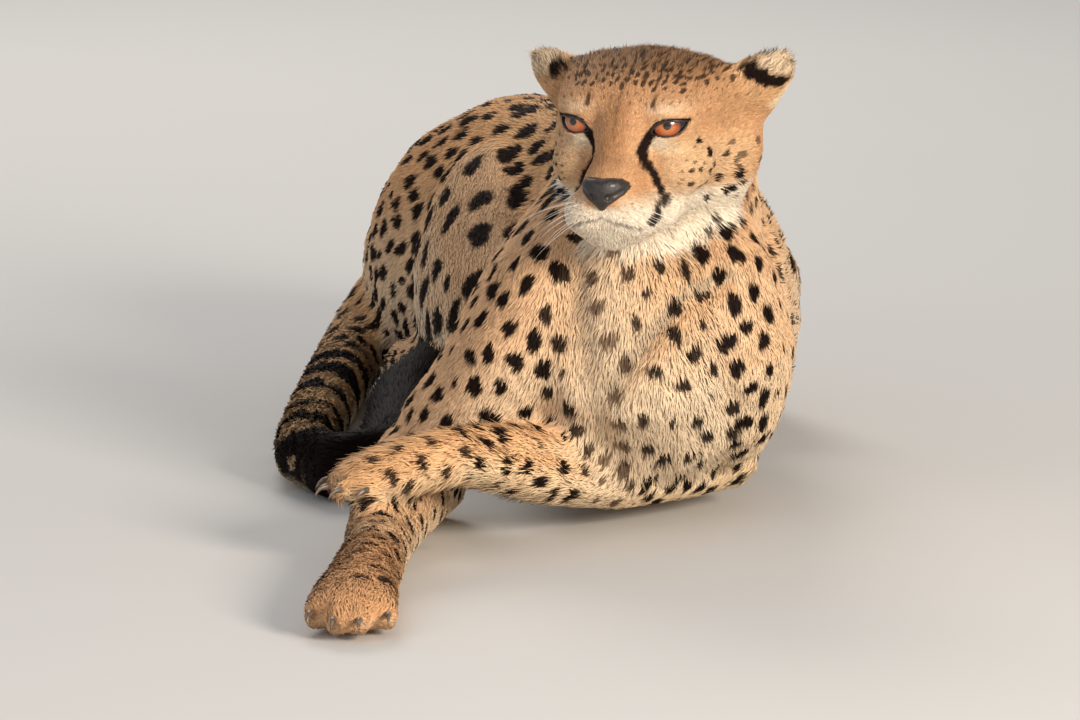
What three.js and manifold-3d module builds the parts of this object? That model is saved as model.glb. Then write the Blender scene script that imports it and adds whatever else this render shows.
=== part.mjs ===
// A life-size adult cheetah lying on its chest, head up and turned a little to its right.
// Millimetres, +Z up, +X to the animal's left, the chest faces -Y. Solids reach the tips of the coat.
// The origin is moved at the end to the middle of the bottom of the whole animal's box.
import * as THREE from 'three';
import { mergeVertices } from 'three/addons/utils/BufferGeometryUtils.js';
import Module from 'manifold-3d';

const wasm = await Module();
wasm.setup();

// ---- driving dimensions ----
const GAP = 0.3;               // clearance between touching pieces
const BACK_HEIGHT = 252;       // top of the back over the ribs
const CHEST_WIDTH = 214;       // ribs with their coat
const CHEST_CENTRE_X = 36;     // middle of the rib cage, to the left of the breastbone's tip
const RIB_HALF_DEPTH = 125;    // half the height of the rib cage with its coat
const HIP_HEIGHT = 238;        // top of the croup
const HIP_HALF_DEPTH = 116;
const FORELEG_WIDTH = 62;      // forearm below the elbow
const WRIST_WIDTH = 47;
const FOREPAW_WIDTH = 66;
const HIND_FOOT_WIDTH = 58;
const TAIL_WIDTH = 58;         // over the fur, at mid length
const EYE_RADIUS = 17.5;
const EYE_SPACING = 67;        // centre to centre
const HEAD_YAW = 18;           // degrees, towards the animal's right
const HEAD_PITCH = 2;          // degrees, nose down
const EYES_AT = [13, -38, 291];  // between the two eyes, at the front of them
const NOSE_WIDTH = 35;
const EAR_LENGTH = 27;         // half the leaf's length; the right ear is folded back further

// ---- colours ----
const FUR = { color: 0xd9a866, roughness: 0.9, metalness: 0 };
const PALE_FUR = { color: 0xe9d5b0, roughness: 0.9, metalness: 0 };
const DARK_FUR = { color: 0x2b241f, roughness: 0.9, metalness: 0 };
const EYE = { color: 0xa65a1c, roughness: 0.1, metalness: 0 };
const NOSE_LEATHER = { color: 0x3a2c29, roughness: 0.5, metalness: 0 };

// ---- solids ----
const UP = new THREE.Vector3(0, 0, 1);
const FORWARD = new THREE.Vector3(0, -1, 0);

/** A closed manifold from a three.js geometry. */
function solidOf(geometry) {
  const bare = geometry.clone();
  bare.deleteAttribute('normal');
  bare.deleteAttribute('uv');
  const merged = mergeVertices(bare, 1e-4);
  const mesh = new wasm.Mesh({
    numProp: 3,
    vertProperties: new Float32Array(merged.attributes.position.array),
    triVerts: new Uint32Array(merged.index.array),
  });
  return new wasm.Manifold(mesh);
}

/** A closed surface from rings of equal length between two poles. */
function skinRings(rings, firstPole, lastPole) {
  const sides = rings[0].length;
  const points = [firstPole, ...rings.flat(), lastPole];
  const last = points.length - 1;
  const faces = [];
  for (let i = 0; i < sides; i += 1) {
    const next = (i + 1) % sides;
    faces.push(0, 1 + next, 1 + i);
    for (let r = 0; r < rings.length - 1; r += 1) {
      const a = 1 + r * sides;
      const b = a + sides;
      faces.push(a + i, a + next, b + next, a + i, b + next, b + i);
    }
    const top = 1 + (rings.length - 1) * sides;
    faces.push(last, top + i, top + next);
  }
  const geometry = new THREE.BufferGeometry();
  geometry.setAttribute('position', new THREE.Float32BufferAttribute(points.flatMap((p) => p.toArray()), 3));
  geometry.setIndex(faces);
  return geometry;
}

/** One point of a rounded section: a superellipse, wider below than above by the egg factor. */
function sectionPoint(angle, wide, tall, egg) {
  const squareness = 2 / 2.25;
  const c = Math.cos(angle);
  const s = Math.sin(angle);
  const across = Math.sign(c) * Math.abs(c) ** squareness;
  const up = Math.sign(s) * Math.abs(s) ** squareness;
  return [wide * across * (1 - egg * up), tall * up];
}

/**
 * A limb: sections set square to a smooth path through the stations, with a rounded cap at each end.
 * A station is [x, y, z, half width, half height, egg]. `up` is the direction that heights follow,
 * `grow` thickens the whole limb, for cutting its neighbours clear of it.
 */
function limb(stations, { sides = 16, cap = [0.6, 0.6], up = UP, capRings = 2 } = {}) {
  return (grow = 0) => {
    const path = new THREE.CatmullRomCurve3(stations.map((s) => new THREE.Vector3(s[0], s[1], s[2])));
    const size = new THREE.CatmullRomCurve3(stations.map((s) => new THREE.Vector3(s[3], s[4], s[5] ?? 0)));
    const spans = stations.length - 1;
    const ringAt = (t, shift, scale) => {
      const along = path.getTangent(t);
      const across = new THREE.Vector3().crossVectors(up, along).normalize();
      const rise = new THREE.Vector3().crossVectors(along, across);
      const centre = path.getPoint(t).addScaledVector(along, shift);
      const s = size.getPoint(t);
      const ring = [];
      for (let i = 0; i < sides; i += 1) {
        const [x, z] = sectionPoint((i / sides) * 2 * Math.PI, (s.x + grow) * scale, (s.y + grow) * scale, s.z);
        ring.push(centre.clone().addScaledVector(across, x).addScaledVector(rise, z));
      }
      return ring;
    };
    const poleAt = (t, shift) => path.getPoint(t).addScaledVector(path.getTangent(t), shift);
    const capLength = (t, k) => Math.min(size.getPoint(t).x, size.getPoint(t).y) * cap[k] + grow;
    const rings = [];
    const startCap = capLength(0, 0);
    const endCap = capLength(1, 1);
    const turns = capRings === 1 ? [48] : [32, 60];
    for (const turn of turns) {
      const a = THREE.MathUtils.degToRad(turn);
      rings.unshift(ringAt(0, -startCap * Math.sin(a), Math.cos(a)));
    }
    for (let i = 0; i <= spans; i += 1) rings.push(ringAt(i / spans, 0, 1));
    for (const turn of turns) {
      const a = THREE.MathUtils.degToRad(turn);
      rings.push(ringAt(1, endCap * Math.sin(a), Math.cos(a)));
    }
    return solidOf(skinRings(rings, poleAt(0, -startCap), poleAt(1, endCap)));
  };
}

/** An ellipsoid with its own axes turned by `turn` (a THREE.Euler). */
function ellipsoid(centre, radii, turn = new THREE.Euler(), detail = [12, 8]) {
  return (grow = 0) => {
    const ball = new THREE.SphereGeometry(1, detail[0], detail[1]);
    ball.scale(radii[0] + grow, radii[1] + grow, radii[2] + grow);
    ball.applyMatrix4(new THREE.Matrix4().makeRotationFromEuler(turn));
    ball.translate(...centre);
    return solidOf(ball);
  };
}

// ---- trunk and neck ----
const ribZ = BACK_HEIGHT - RIB_HALF_DEPTH;
const hipZ = HIP_HEIGHT - HIP_HALF_DEPTH;

const breast = limb([
  [20, -8, 148, 66, 76, 0.05],
  [24, 30, 140, 90, 104, 0.04],
  [30, 95, 136, 102, 122, 0.05],
  [CHEST_CENTRE_X, 165, ribZ, CHEST_WIDTH / 2, RIB_HALF_DEPTH, 0.06],
  [CHEST_CENTRE_X + 6, 225, ribZ, CHEST_WIDTH / 2 - 2, RIB_HALF_DEPTH - 1, 0.08],
], { sides: 16, cap: [0.55, 0.2] });

const belly = limb([
  [CHEST_CENTRE_X + 5, 215, ribZ - 2, CHEST_WIDTH / 2 - 5, RIB_HALF_DEPTH - 1, 0.08],
  [CHEST_CENTRE_X + 6, 290, 121, 98, 125, 0.1],
  [25, 370, 119, 88, 124, 0.12],
  [-2, 440, 118, 84, 124, 0.1],
  [-28, 485, 117, 86, 122, 0.08],
], { sides: 18, cap: [0.2, 0.2], capRings: 1 });

const rump = limb([
  [-20, 470, 120, 84, 120, 0.08],
  [-50, 515, hipZ, 92, HIP_HALF_DEPTH, 0.08],
  [-84, 556, 102, 90, 110, 0.06],
  [-114, 590, 86, 74, 90, 0.02],
  [-136, 612, 78, 52, 66, 0],
], { sides: 18, cap: [0.2, 0.55] });

const neck = limb([
  [42, 74, 294, 50, 42, 0],
  [42, 76, 264, 70, 68, 0],
  [39, 84, 228, 78, 88, 0],
  [35, 92, 188, 88, 97, 0],
  [31, 98, 150, 92, 99, 0],
], { sides: 14, up: FORWARD, cap: [0.5, 0.3] });

// ---- head, in its own frame: x to the animal's right, y out of the face, z up, from between the eyes ----
const pair = (x, ...rest) => [[x, ...rest], [-x, ...rest]];
const MASSES = [
  [0, -72, -6, 60, 60, 50],                // skull
  [0, -104, -16, 54, 38, 42],              // back of the skull and nape
  [0, -36, 3, 46, 36, 33],                 // forehead
  ...pair(34, -66, 12, 30, 42, 27),        // temples, below the ears
  [0, -30, -60, 44, 54, 22],               // jaw
  [0, 20, -70, 19, 17, 12],                // chin
  ...pair(5, -6, -9, 13, 20, 19),          // bridge between the eyes
  ...pair(6, 14, -34, 13, 26, 15),         // bridge above the nose
  ...pair(14, 23, -54, 18, 20, 15),        // whisker pads
  ...pair(42, -88, -31, 38, 44, 44),       // cheeks and ruff
  ...pair(57, -92, 4, 20, 17, 24),         // roots of the ears
  ...pair(34, -32, -30, 25, 33, 22),       // cheekbones
  ...pair(27, -18, 15, 20, 15, 8),         // brows
];
const BLEND = 5;                           // how softly the masses melt together
const HEAD_DETAIL = [22, 16];
const SKULL_CENTRE = new THREE.Vector3(0, -58, -18);
const headTurn = new THREE.Euler(
  THREE.MathUtils.degToRad(-HEAD_PITCH), 0, THREE.MathUtils.degToRad(180 - HEAD_YAW), 'ZXY');
const HEAD_FRAME = new THREE.Matrix4().makeRotationFromEuler(headTurn).setPosition(...EYES_AT);
const onHead = (x, y, z) => new THREE.Vector3(x, y, z).applyMatrix4(HEAD_FRAME).toArray();

/** Negative inside the head: the masses' ellipsoids, melted together over BLEND. */
function headField(p) {
  let sum = 0;
  for (const [x, y, z, a, b, c] of MASSES) {
    const k = Math.hypot((p.x - x) / a, (p.y - y) / b, (p.z - z) / c);
    sum += Math.exp(-((k - 1) * Math.min(a, b, c)) / BLEND);
  }
  return -BLEND * Math.log(sum);
}

/** How far along a ray from the skull's centre the head's surface lies. */
function reach(ray) {
  const isOut = (d) => headField(ray.clone().multiplyScalar(d).add(SKULL_CENTRE)) > 0;
  let outside = 160;
  while (outside > 4 && isOut(outside - 4)) outside -= 4;
  let inside = outside - 4;
  for (let step = 0; step < 12; step += 1) {
    const middle = (inside + outside) / 2;
    if (isOut(middle)) outside = middle;
    else inside = middle;
  }
  return inside;
}

/** A ball drawn out along each ray until it meets the head's surface, with its pole at the nose. */
function headSolid(grow = 0) {
  const ball = new THREE.SphereGeometry(1, ...HEAD_DETAIL);
  const spots = ball.attributes.position;
  for (let i = 0; i < spots.count; i += 1) {
    const ray = new THREE.Vector3().fromBufferAttribute(spots, i).normalize();
    const place = ray.clone().multiplyScalar(reach(ray) + grow * 2).add(SKULL_CENTRE);
    spots.setXYZ(i, place.x, place.y, place.z);
  }
  ball.applyMatrix4(HEAD_FRAME);
  const whole = solidOf(ball);
  return grow > 0 ? whole : whole.subtract(lidOpening(-1)()).subtract(lidOpening(1)());
}

const eye = (side) => ellipsoid(onHead((side * EYE_SPACING) / 2, -EYE_RADIUS, 0),
  [EYE_RADIUS, EYE_RADIUS, EYE_RADIUS], headTurn, [10, 8]);
const nosePad = ellipsoid(onHead(0, 42, -40), [NOSE_WIDTH / 2, 9, 11], headTurn, [10, 7]);

/** An external ear, laid out to the side: a rounded leaf of fur with its hollow turned back. */
function ear(side, length) {
  const lean = new THREE.Euler(-0.15, side * 0.95, -side * 0.85, 'YXZ');
  const turn = new THREE.Matrix4().makeRotationFromEuler(headTurn)
    .multiply(new THREE.Matrix4().makeRotationFromEuler(lean));
  const base = onHead(side * 63, -86, 14);
  const outline = (half, depth, height, shift) => (grow = 0) => {
    const ball = new THREE.SphereGeometry(1, 8, 6);
    ball.scale(half + grow, depth + grow, height + grow);
    ball.translate(0, shift, length - 13);
    ball.applyMatrix4(turn);
    ball.translate(...base);
    return solidOf(ball);
  };
  const shell = outline(20, 10, length, 0);
  const hollow = outline(13, 9, length - 7, -7);
  return (grow = 0) => (grow > 0 ? shell(grow) : shell().subtract(hollow()));
}

/** The opening between the lids, cut into the head in front of the eyeball. */
const lidOpening = (side) => ellipsoid(onHead(side * (EYE_SPACING / 2 + 1.5), -2, 0), [12, 14, 6.5], headTurn, [8, 6]);

// ---- forelegs ----
const shoulderLeft = limb([
  [56, 112, 238, 52, 24, 0],
  [74, 78, 212, 62, 36, 0],
  [88, 42, 172, 66, 42, 0],
  [94, 38, 128, 64, 43, 0],
  [92, 58, 94, 54, 42, 0],
  [86, 84, 70, 44, 40, 0],
], { sides: 14, up: new THREE.Vector3(0.93, -0.35, 0.1) });
const shoulderRight = limb([
  [2, 120, 234, 52, 22, 0],
  [-20, 78, 206, 62, 34, 0],
  [-42, 42, 168, 66, 40, 0],
  [-62, 30, 126, 62, 42, 0],
  [-88, 34, 88, 52, 38, 0],
  [-112, 50, 60, 42, 36, 0],
], { sides: 14, up: new THREE.Vector3(-0.9, -0.2, 0.4) });

const forearmLeft = limb([
  [90, 116, 50, 36, 38, 0],
  [54, 82, 46, 35, 36, 0],
  [6, 38, 45, 33, 34, 0],
  [-44, -12, 54, 28, 29, 0],
  [-92, -58, 69, 24, 22, 0],
], { sides: 10, capRings: 1 });
const forearmRight = limb([
  [-122, 74, 38, 36, 40, 0],
  [-132, 30, 34, 35, 37, 0],
  [-143, -40, 27, FORELEG_WIDTH / 2, 29, 0],
  [-150, -110, 23, 26, 25, 0],
  [-153, -185, 23, WRIST_WIDTH / 2, 24, 0],
], { sides: 10, capRings: 1 });

/**
 * A paw: an instep from the joint to the ball, and four toes fanned across its end.
 * `from` and `to` are the joint and the tips of the middle toes.
 */
function paw(from, to, width, depth, footing) {
  const start = new THREE.Vector3(...from);
  const end = new THREE.Vector3(...to);
  const along = end.clone().sub(start).normalize();
  const across = new THREE.Vector3().crossVectors(along, UP).normalize();
  const length = start.distanceTo(end);
  const spot = (t, side, rise) => start.clone().addScaledVector(along, t * length)
    .addScaledVector(across, side * width).add(new THREE.Vector3(0, 0, rise)).toArray();
  const instep = limb([
    [...spot(0, 0, 0), ...depth, 0],
    [...spot(0.35, 0, 0), width * 0.38, depth[1], 0.05],
    [...spot(0.62, 0, -1), width * 0.45, depth[1] * 0.92, 0.08],
    [...spot(0.8, 0, -2), width * 0.38, depth[1] * 0.72, 0.1],
  ], { sides: 8, capRings: 1 });
  const toes = [-1.5, -0.5, 0.5, 1.5].map((k) => {
    const isOuter = Math.abs(k) > 1;
    const reachOut = isOuter ? 0.8 : 0.9;
    return limb([
      [...spot(reachOut - 0.2, k * 0.21, 1), width * 0.115, depth[1] * 0.66, 0],
      [...spot(reachOut, k * 0.25, footing), width * 0.12, depth[1] * 0.6, 0],
    ], { sides: 5, cap: [0.3, 0.9], capRings: 1 });
  });
  return (grow = 0) => toes.reduce((whole, toe) => whole.add(toe(grow)), instep(grow));
}

const pawLeft = paw([-92, -58, 70], [-184, -124, 60], 60, [24, 21], -5);
const pawRight = paw([-153, -185, 23], [-168, -372, 20], FOREPAW_WIDTH, [24, 24], -6);

// ---- hind legs ----
const thighRight = limb([
  [-66, 556, 170, 46, 44, 0],
  [-72, 520, 150, 82, 56, 0],
  [-74, 460, 126, 92, 60, 0],
  [-72, 395, 104, 82, 58, 0],
  [-66, 330, 88, 64, 50, 0],
  [-58, 280, 76, 48, 42, 0],
], { sides: 14, up: new THREE.Vector3(-0.95, -0.2, 0.25) });
const shankRight = limb([
  [-64, 290, 60, 44, 34, 0],
  [-90, 350, 54, 42, 30, 0],
  [-118, 418, 44, 34, 26, 0],
  [-140, 476, 34, 25, 24, 0],
], { sides: 10, up: new THREE.Vector3(-0.9, -0.35, 0.3) });
const footRight = paw([-138, 468, 23], [-54, 250, 19], HIND_FOOT_WIDTH, [24, 23], -6);
const thighLeft = limb([
  [8, 590, 166, 46, 44, 0],
  [24, 564, 150, 80, 54, 0],
  [56, 520, 130, 82, 54, 0],
  [94, 474, 110, 62, 46, 0],
  [124, 438, 98, 42, 36, 0],
], { sides: 14, up: new THREE.Vector3(0.75, 0.6, 0.3) });
const shankLeft = limb([
  [124, 446, 82, 38, 32, 0],
  [104, 500, 70, 40, 30, 0],
  [74, 562, 52, 32, 26, 0],
  [50, 612, 34, 25, 24, 0],
], { sides: 10, up: new THREE.Vector3(0.8, 0.5, 0.3) });
const footLeft = paw([52, 604, 23], [120, 408, 19], HIND_FOOT_WIDTH, [24, 23], -6);

// ---- tail: out of the rump, forward along the floor, then back on itself beside the hind foot ----
const TAIL_ROUTE = [
  [-130, 614, 84], [-158, 616, 60], [-178, 580, 36], [-190, 510, 27], [-198, 410, 26], [-205, 310, 25],
  [-209, 235, 25], [-205, 172, 26], [-181, 128, 27], [-153, 146, 28], [-145, 195, 29], [-142, 252, 33],
  [-137, 312, 45], [-128, 358, 60],
];
const tailPath = new THREE.CatmullRomCurve3(TAIL_ROUTE.map((p) => new THREE.Vector3(...p)), false, 'centripetal');

/** Half the tail's thickness at a fraction of its length: slim past the root, bushy near the end. */
function tailHalf(t) {
  const root = 8 * Math.exp(-t * 9);
  const brush = 4 * Math.exp(-(((t - 0.86) / 0.12) ** 2));
  const tip = 12 * Math.max(0, (t - 0.93) / 0.07) ** 2;
  return TAIL_WIDTH / 2 - 3 + root + brush - tip;
}

/** One length of the tail between two fractions of it. */
function tailLength(from, to) {
  const steps = 4;
  const stations = [];
  for (let i = 0; i <= steps; i += 1) {
    const t = from + ((to - from) * i) / steps;
    const half = tailHalf(t);
    stations.push([...tailPath.getPointAt(t).toArray(), half, half, 0]);
  }
  const isTip = to === 1;
  return limb(stations, { sides: 10, cap: [0.2, isTip ? 1.1 : 0.2], capRings: isTip ? 2 : 1 });
}

// ---- assembly ----
const floor = new THREE.BoxGeometry(4000, 4000, 400);
floor.translate(0, 0, -200);
const floorSolid = solidOf(floor);

// Each piece gives way to all the pieces before it.
const PIECES = [
  ['eye_left', eye(-1), EYE],
  ['eye_right', eye(1), EYE],
  ['nose', nosePad, NOSE_LEATHER],
  ['head', headSolid, FUR],
  ['ear_left', ear(-1, EAR_LENGTH), DARK_FUR],
  ['ear_right', ear(1, EAR_LENGTH - 5), DARK_FUR],
  ['neck', neck, FUR],
  ['breast', breast, PALE_FUR],
  ['shoulder_left', shoulderLeft, FUR],
  ['shoulder_right', shoulderRight, FUR],
  ['forearm_left', forearmLeft, FUR],
  ['forearm_right', forearmRight, FUR],
  ['forepaw_left', pawLeft, FUR],
  ['forepaw_right', pawRight, FUR],
  ['belly', belly, PALE_FUR],
  ['rump', rump, FUR],
  ['thigh_right', thighRight, FUR],
  ['thigh_left', thighLeft, FUR],
  ['shank_right', shankRight, FUR],
  ['shank_left', shankLeft, FUR],
  ['hind_foot_right', footRight, FUR],
  ['hind_foot_left', footLeft, FUR],
  ['tail_root', tailLength(0, 0.2), FUR],
  ['tail_middle', tailLength(0.2, 0.46), FUR],
  ['tail_bend', tailLength(0.46, 0.74), DARK_FUR],
  ['tail_tip', tailLength(0.74, 1), DARK_FUR],
];

/** The largest body of a cut piece, without the crumbs that a cut can leave. */
function mainBody(solid) {
  const bodies = solid.decompose();
  return bodies.reduce((best, body) => (body.volume() > best.volume() ? body : best));
}

/** A finished piece: cut clear of the pieces before it and of the floor. */
function cutPiece(index) {
  const [, shape] = PIECES[index];
  let solid = shape();
  for (const [, neighbour] of PIECES.slice(0, index)) {
    const cutter = neighbour(GAP);
    const isClear = solid.intersect(cutter).isEmpty();
    if (!isClear) solid = solid.subtract(cutter);
  }
  return mainBody(solid.subtract(floorSolid));
}

/** A three.js mesh from a manifold. */
function meshOf(name, solid, material) {
  const { vertProperties, triVerts } = solid.getMesh();
  const geometry = new THREE.BufferGeometry();
  geometry.setAttribute('position', new THREE.BufferAttribute(new Float32Array(vertProperties), 3));
  geometry.setIndex(new THREE.BufferAttribute(new Uint32Array(triVerts), 1));
  geometry.computeVertexNormals();
  const mesh = new THREE.Mesh(geometry, new THREE.MeshStandardMaterial(material));
  mesh.name = name;
  return mesh;
}

const cheetah = new THREE.Group();
PIECES.forEach(([name, , material], index) => {
  cheetah.add(meshOf(name, cutPiece(index), material));
});
const extent = new THREE.Box3().setFromObject(cheetah);
const middle = extent.getCenter(new THREE.Vector3());
cheetah.position.set(-middle.x, -middle.y, -extent.min.z);

export default cheetah;
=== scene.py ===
# A life-size adult cheetah lying on its chest: one skin over the whole animal, eyes, lids, nose
# leather, claws and whiskers, and a coat of small overlapping locks of hair.
import math
import bpy
import numpy as np
import openvdb
from mathutils import Matrix, Vector


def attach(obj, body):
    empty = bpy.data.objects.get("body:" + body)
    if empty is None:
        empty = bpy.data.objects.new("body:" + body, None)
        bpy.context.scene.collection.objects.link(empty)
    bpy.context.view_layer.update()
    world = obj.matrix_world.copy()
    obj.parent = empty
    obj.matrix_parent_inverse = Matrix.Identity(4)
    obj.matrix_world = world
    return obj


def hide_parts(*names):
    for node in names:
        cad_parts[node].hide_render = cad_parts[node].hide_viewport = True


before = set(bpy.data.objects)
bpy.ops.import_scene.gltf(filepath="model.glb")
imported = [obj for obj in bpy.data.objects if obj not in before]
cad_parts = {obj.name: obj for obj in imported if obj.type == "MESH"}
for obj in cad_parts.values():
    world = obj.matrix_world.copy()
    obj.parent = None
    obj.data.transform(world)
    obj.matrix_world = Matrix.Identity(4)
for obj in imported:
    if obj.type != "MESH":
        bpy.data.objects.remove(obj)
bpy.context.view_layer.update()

# ---------------------------------------------------------------------------------------------
# The studio. A pale seamless floor, a big warm light from the right front, a weaker one from the
# left and a rim light behind. The camera stands low and far away, with a long lens.
ORIGIN = np.array([39.79, -147.31, 0.0])      # from the point under the chest to the row's origin, mm
ELEVATION = math.radians(10)
DISTANCE = 6.0                                 # metres from the camera to what it looks at
AIM_RISE = 93.1                                # and how far above the forefeet it looks, mm


def place(x, y, z):
    """A point given in millimetres from the floor under the front of the chest, in the row frame."""
    return np.array([x, y, z], float) + ORIGIN


looking = Vector((0, math.cos(ELEVATION), -math.sin(ELEVATION)))
aim = Vector(place(-41.4, AIM_RISE * math.sin(ELEVATION), 30 + AIM_RISE * math.cos(ELEVATION)) / 1000)
camera = bpy.data.objects.new("camera", bpy.data.cameras.new("camera"))
bpy.context.scene.collection.objects.link(camera)
camera.data.sensor_width = 36
camera.data.lens = 290
camera.data.clip_end = 60
camera.location = aim - looking * DISTANCE
camera.rotation_mode = "QUATERNION"
camera.rotation_quaternion = looking.to_track_quat("-Z", "Y")
bpy.context.scene.camera = camera

for name, spot, size, power, tint in (
    ("key", (1.9, -2.9, 1.35), 1.1, 138, (1.0, 0.91, 0.79)),
    ("fill", (-2.4, -2.6, 1.5), 2.4, 24, (0.98, 0.97, 1.0)),
    ("rim", (-0.6, 2.6, 2.2), 1.6, 40, (1.0, 0.95, 0.88)),
):
    lamp = bpy.data.lights.new(name, "AREA")
    lamp.shape, lamp.size = "DISK", size
    lamp.energy, lamp.color = power, tint
    light = bpy.data.objects.new(name, lamp)
    bpy.context.scene.collection.objects.link(light)
    light.location = spot
    light.rotation_euler = (Vector((0, 0, 0.15)) - Vector(spot)).to_track_quat("-Z", "Y").to_euler()

world = bpy.data.worlds.new("studio")
world.use_nodes = True
world.node_tree.nodes["Background"].inputs["Color"].default_value = (0.93, 0.95, 1.0, 1)
world.node_tree.nodes["Background"].inputs["Strength"].default_value = 0.42
bpy.context.scene.world = world
bpy.context.scene.view_settings.view_transform = "Standard"


class Socket:
    """A shader socket, with the few steps that the materials here are made of."""

    def __init__(self, tree, socket):
        self.tree, self.socket = tree, socket

    def node(self, kind, settings=(), out=0, **values):
        """Any node: its type, its settings, and the values or links of its sockets by name or number."""
        made = self.tree.nodes.new(kind)
        for key, value in dict(settings).items():
            setattr(made, key, value)
        for key, value in values.items():
            name = int(key[1:]) if key[1:].isdigit() else key.replace("_", " ")
            if isinstance(value, Socket):
                self.tree.links.new(value.socket, made.inputs[name])
            else:
                made.inputs[name].default_value = value
        return Socket(self.tree, made.outputs[out])

    def steps(self, low, high):
        """0 below low, 1 above high, smooth between."""
        return self.node("ShaderNodeMapRange", {"interpolation_type": "SMOOTHSTEP"}, Value=self,
                         From_Min=low, From_Max=high)

    def blend(self, first, second):
        """Between two colours, by this value."""
        return self.node("ShaderNodeMix", {"data_type": "RGBA"}, out=2, i0=self, i6=first, i7=second)


def finish(name, roughness, sheen=0.0, coat=0.0, gloss=0.5):
    """A material with a Principled shader: returns it, a first socket to work from, and a setter."""
    material = bpy.data.materials.new(name)
    material.use_nodes = True
    tree = material.node_tree
    shader = tree.nodes["Principled BSDF"]
    shader.inputs["Roughness"].default_value = roughness
    shader.inputs["Specular IOR Level"].default_value = gloss
    shader.inputs["Sheen Weight"].default_value = sheen
    shader.inputs["Sheen Roughness"].default_value = 0.5
    shader.inputs["Coat Weight"].default_value = coat
    shader.inputs["Coat Roughness"].default_value = 0.04

    def put(socket, value):
        if isinstance(value, Socket):
            tree.links.new(value.socket, shader.inputs[socket])
        else:
            shader.inputs[socket].default_value = value

    where = Socket(tree, tree.nodes.new("ShaderNodeTexCoord").outputs["Object"])
    return material, where, put


def shaded(colour, amount, dark, by):
    """A colour made darker where `by` is low: down to the tint `dark`, by a share of `amount`."""
    return colour.node("ShaderNodeMix", {"data_type": "RGBA", "blend_type": "MULTIPLY"}, out=2,
                       i0=amount, i6=colour, i7=by.blend((*dark, 1), (1, 1, 1, 1)))


def noise(where, size, detail=3.0, roughness=0.5):
    """Even noise, 0 to 1, with lumps of about `size` metres."""
    return where.node("ShaderNodeTexNoise", {}, Vector=where, Scale=1 / size,
                      Detail=detail, Roughness=roughness)


def bumped(where, height, depth, strength=1.0):
    """A normal from a height of 0 to 1 that is `depth` metres deep."""
    return where.node("ShaderNodeBump", {}, Height=height, Distance=depth, Strength=strength)


def mesh_of(name, points, faces, material, smooth=True):
    """An object from points in millimetres and faces, quads or triangles, as one array."""
    points, faces = np.asarray(points, np.float32) / 1000, np.asarray(faces, np.int32)
    mesh = bpy.data.meshes.new(name)
    mesh.vertices.add(len(points))
    mesh.vertices.foreach_set("co", points.ravel())
    mesh.loops.add(faces.size)
    mesh.loops.foreach_set("vertex_index", faces.ravel())
    mesh.polygons.add(len(faces))
    mesh.polygons.foreach_set("loop_start", np.arange(0, faces.size, faces.shape[1], dtype=np.int32))
    mesh.update(calc_edges=True)
    mesh.validate()
    mesh.polygons.foreach_set("use_smooth", np.full(len(mesh.polygons), smooth))
    mesh.materials.append(material)
    made = bpy.data.objects.new(name, mesh)
    bpy.context.scene.collection.objects.link(made)
    return made


FLOOR_HALF = 9000
backdrop, where, put = finish("studio_floor", 0.85)
put("Base Color", noise(where, 0.8).blend((0.62, 0.605, 0.58, 1), (0.66, 0.645, 0.62, 1)))
floor_corners = FLOOR_HALF * np.array([[-1, -1, 0], [1, -1, 0], [1, 1, 0], [-1, 1, 0]])
studio_floor = mesh_of("studio_floor", floor_corners, [[0, 1, 2, 3]], backdrop, smooth=False)

# ---------------------------------------------------------------------------------------------
# The skin. One hide over trunk, neck, head, legs and tail, with no seam. It lies inside the
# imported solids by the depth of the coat: a few millimetres on the face, more on chest and tail.
VOXEL = 3.0
BAND = 10                                      # voxels on each side of a surface that hold distances
REACH = VOXEL * BAND
NODES = sorted(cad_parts)
COAT_DEPTH = {                                 # on the head, enough to sink it under the head shaped below
    "head": 11, "ear": 9, "eye": 11, "nose": 12, "neck": 6, "breast": 6.5, "belly": 5, "shoulder": 4,
    "forearm": 4.5, "forepaw": 3.5, "rump": 4, "thigh": 4, "shank": 4, "hind": 3.5,
    "tail_root": 5.5, "tail_middle": 5.5, "tail_bend": 7, "tail_tip": 9,
}


def first_of(table, name):
    """A table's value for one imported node, by the first key that the node's name starts with."""
    return next(value for key, value in table.items() if name.startswith(key))


def by_node(table):
    """A table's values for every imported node."""
    return np.array([first_of(table, name) for name in NODES], np.float32)


def solid_of(name):
    """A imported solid's corners in millimetres, doubled corners joined, and its triangles."""
    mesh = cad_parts[name].data
    corners = np.empty(len(mesh.vertices) * 3, np.float32)
    mesh.vertices.foreach_get("co", corners)
    mesh.calc_loop_triangles()
    triangles = np.empty(len(mesh.loop_triangles) * 3, np.int32)
    mesh.loop_triangles.foreach_get("vertices", triangles)
    points, place_of = np.unique(np.round(corners.reshape(-1, 3) * 1000, 3), axis=0, return_inverse=True)
    return points.astype(np.float32), place_of.ravel()[triangles].reshape(-1, 3).astype(np.int32)


def distances(low, shape, points, **faces):
    """Signed distance to a closed surface in a block of voxels, negative inside, cut off at REACH."""
    grid = openvdb.FloatGrid.createLevelSetFromPolygons(
        points, transform=openvdb.createLinearTransform(voxelSize=VOXEL), halfWidth=BAND, **faces)
    block = np.full(shape, REACH, np.float32)
    grid.copyToArray(block, ijk=tuple(int(i) for i in low))
    return block


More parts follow.
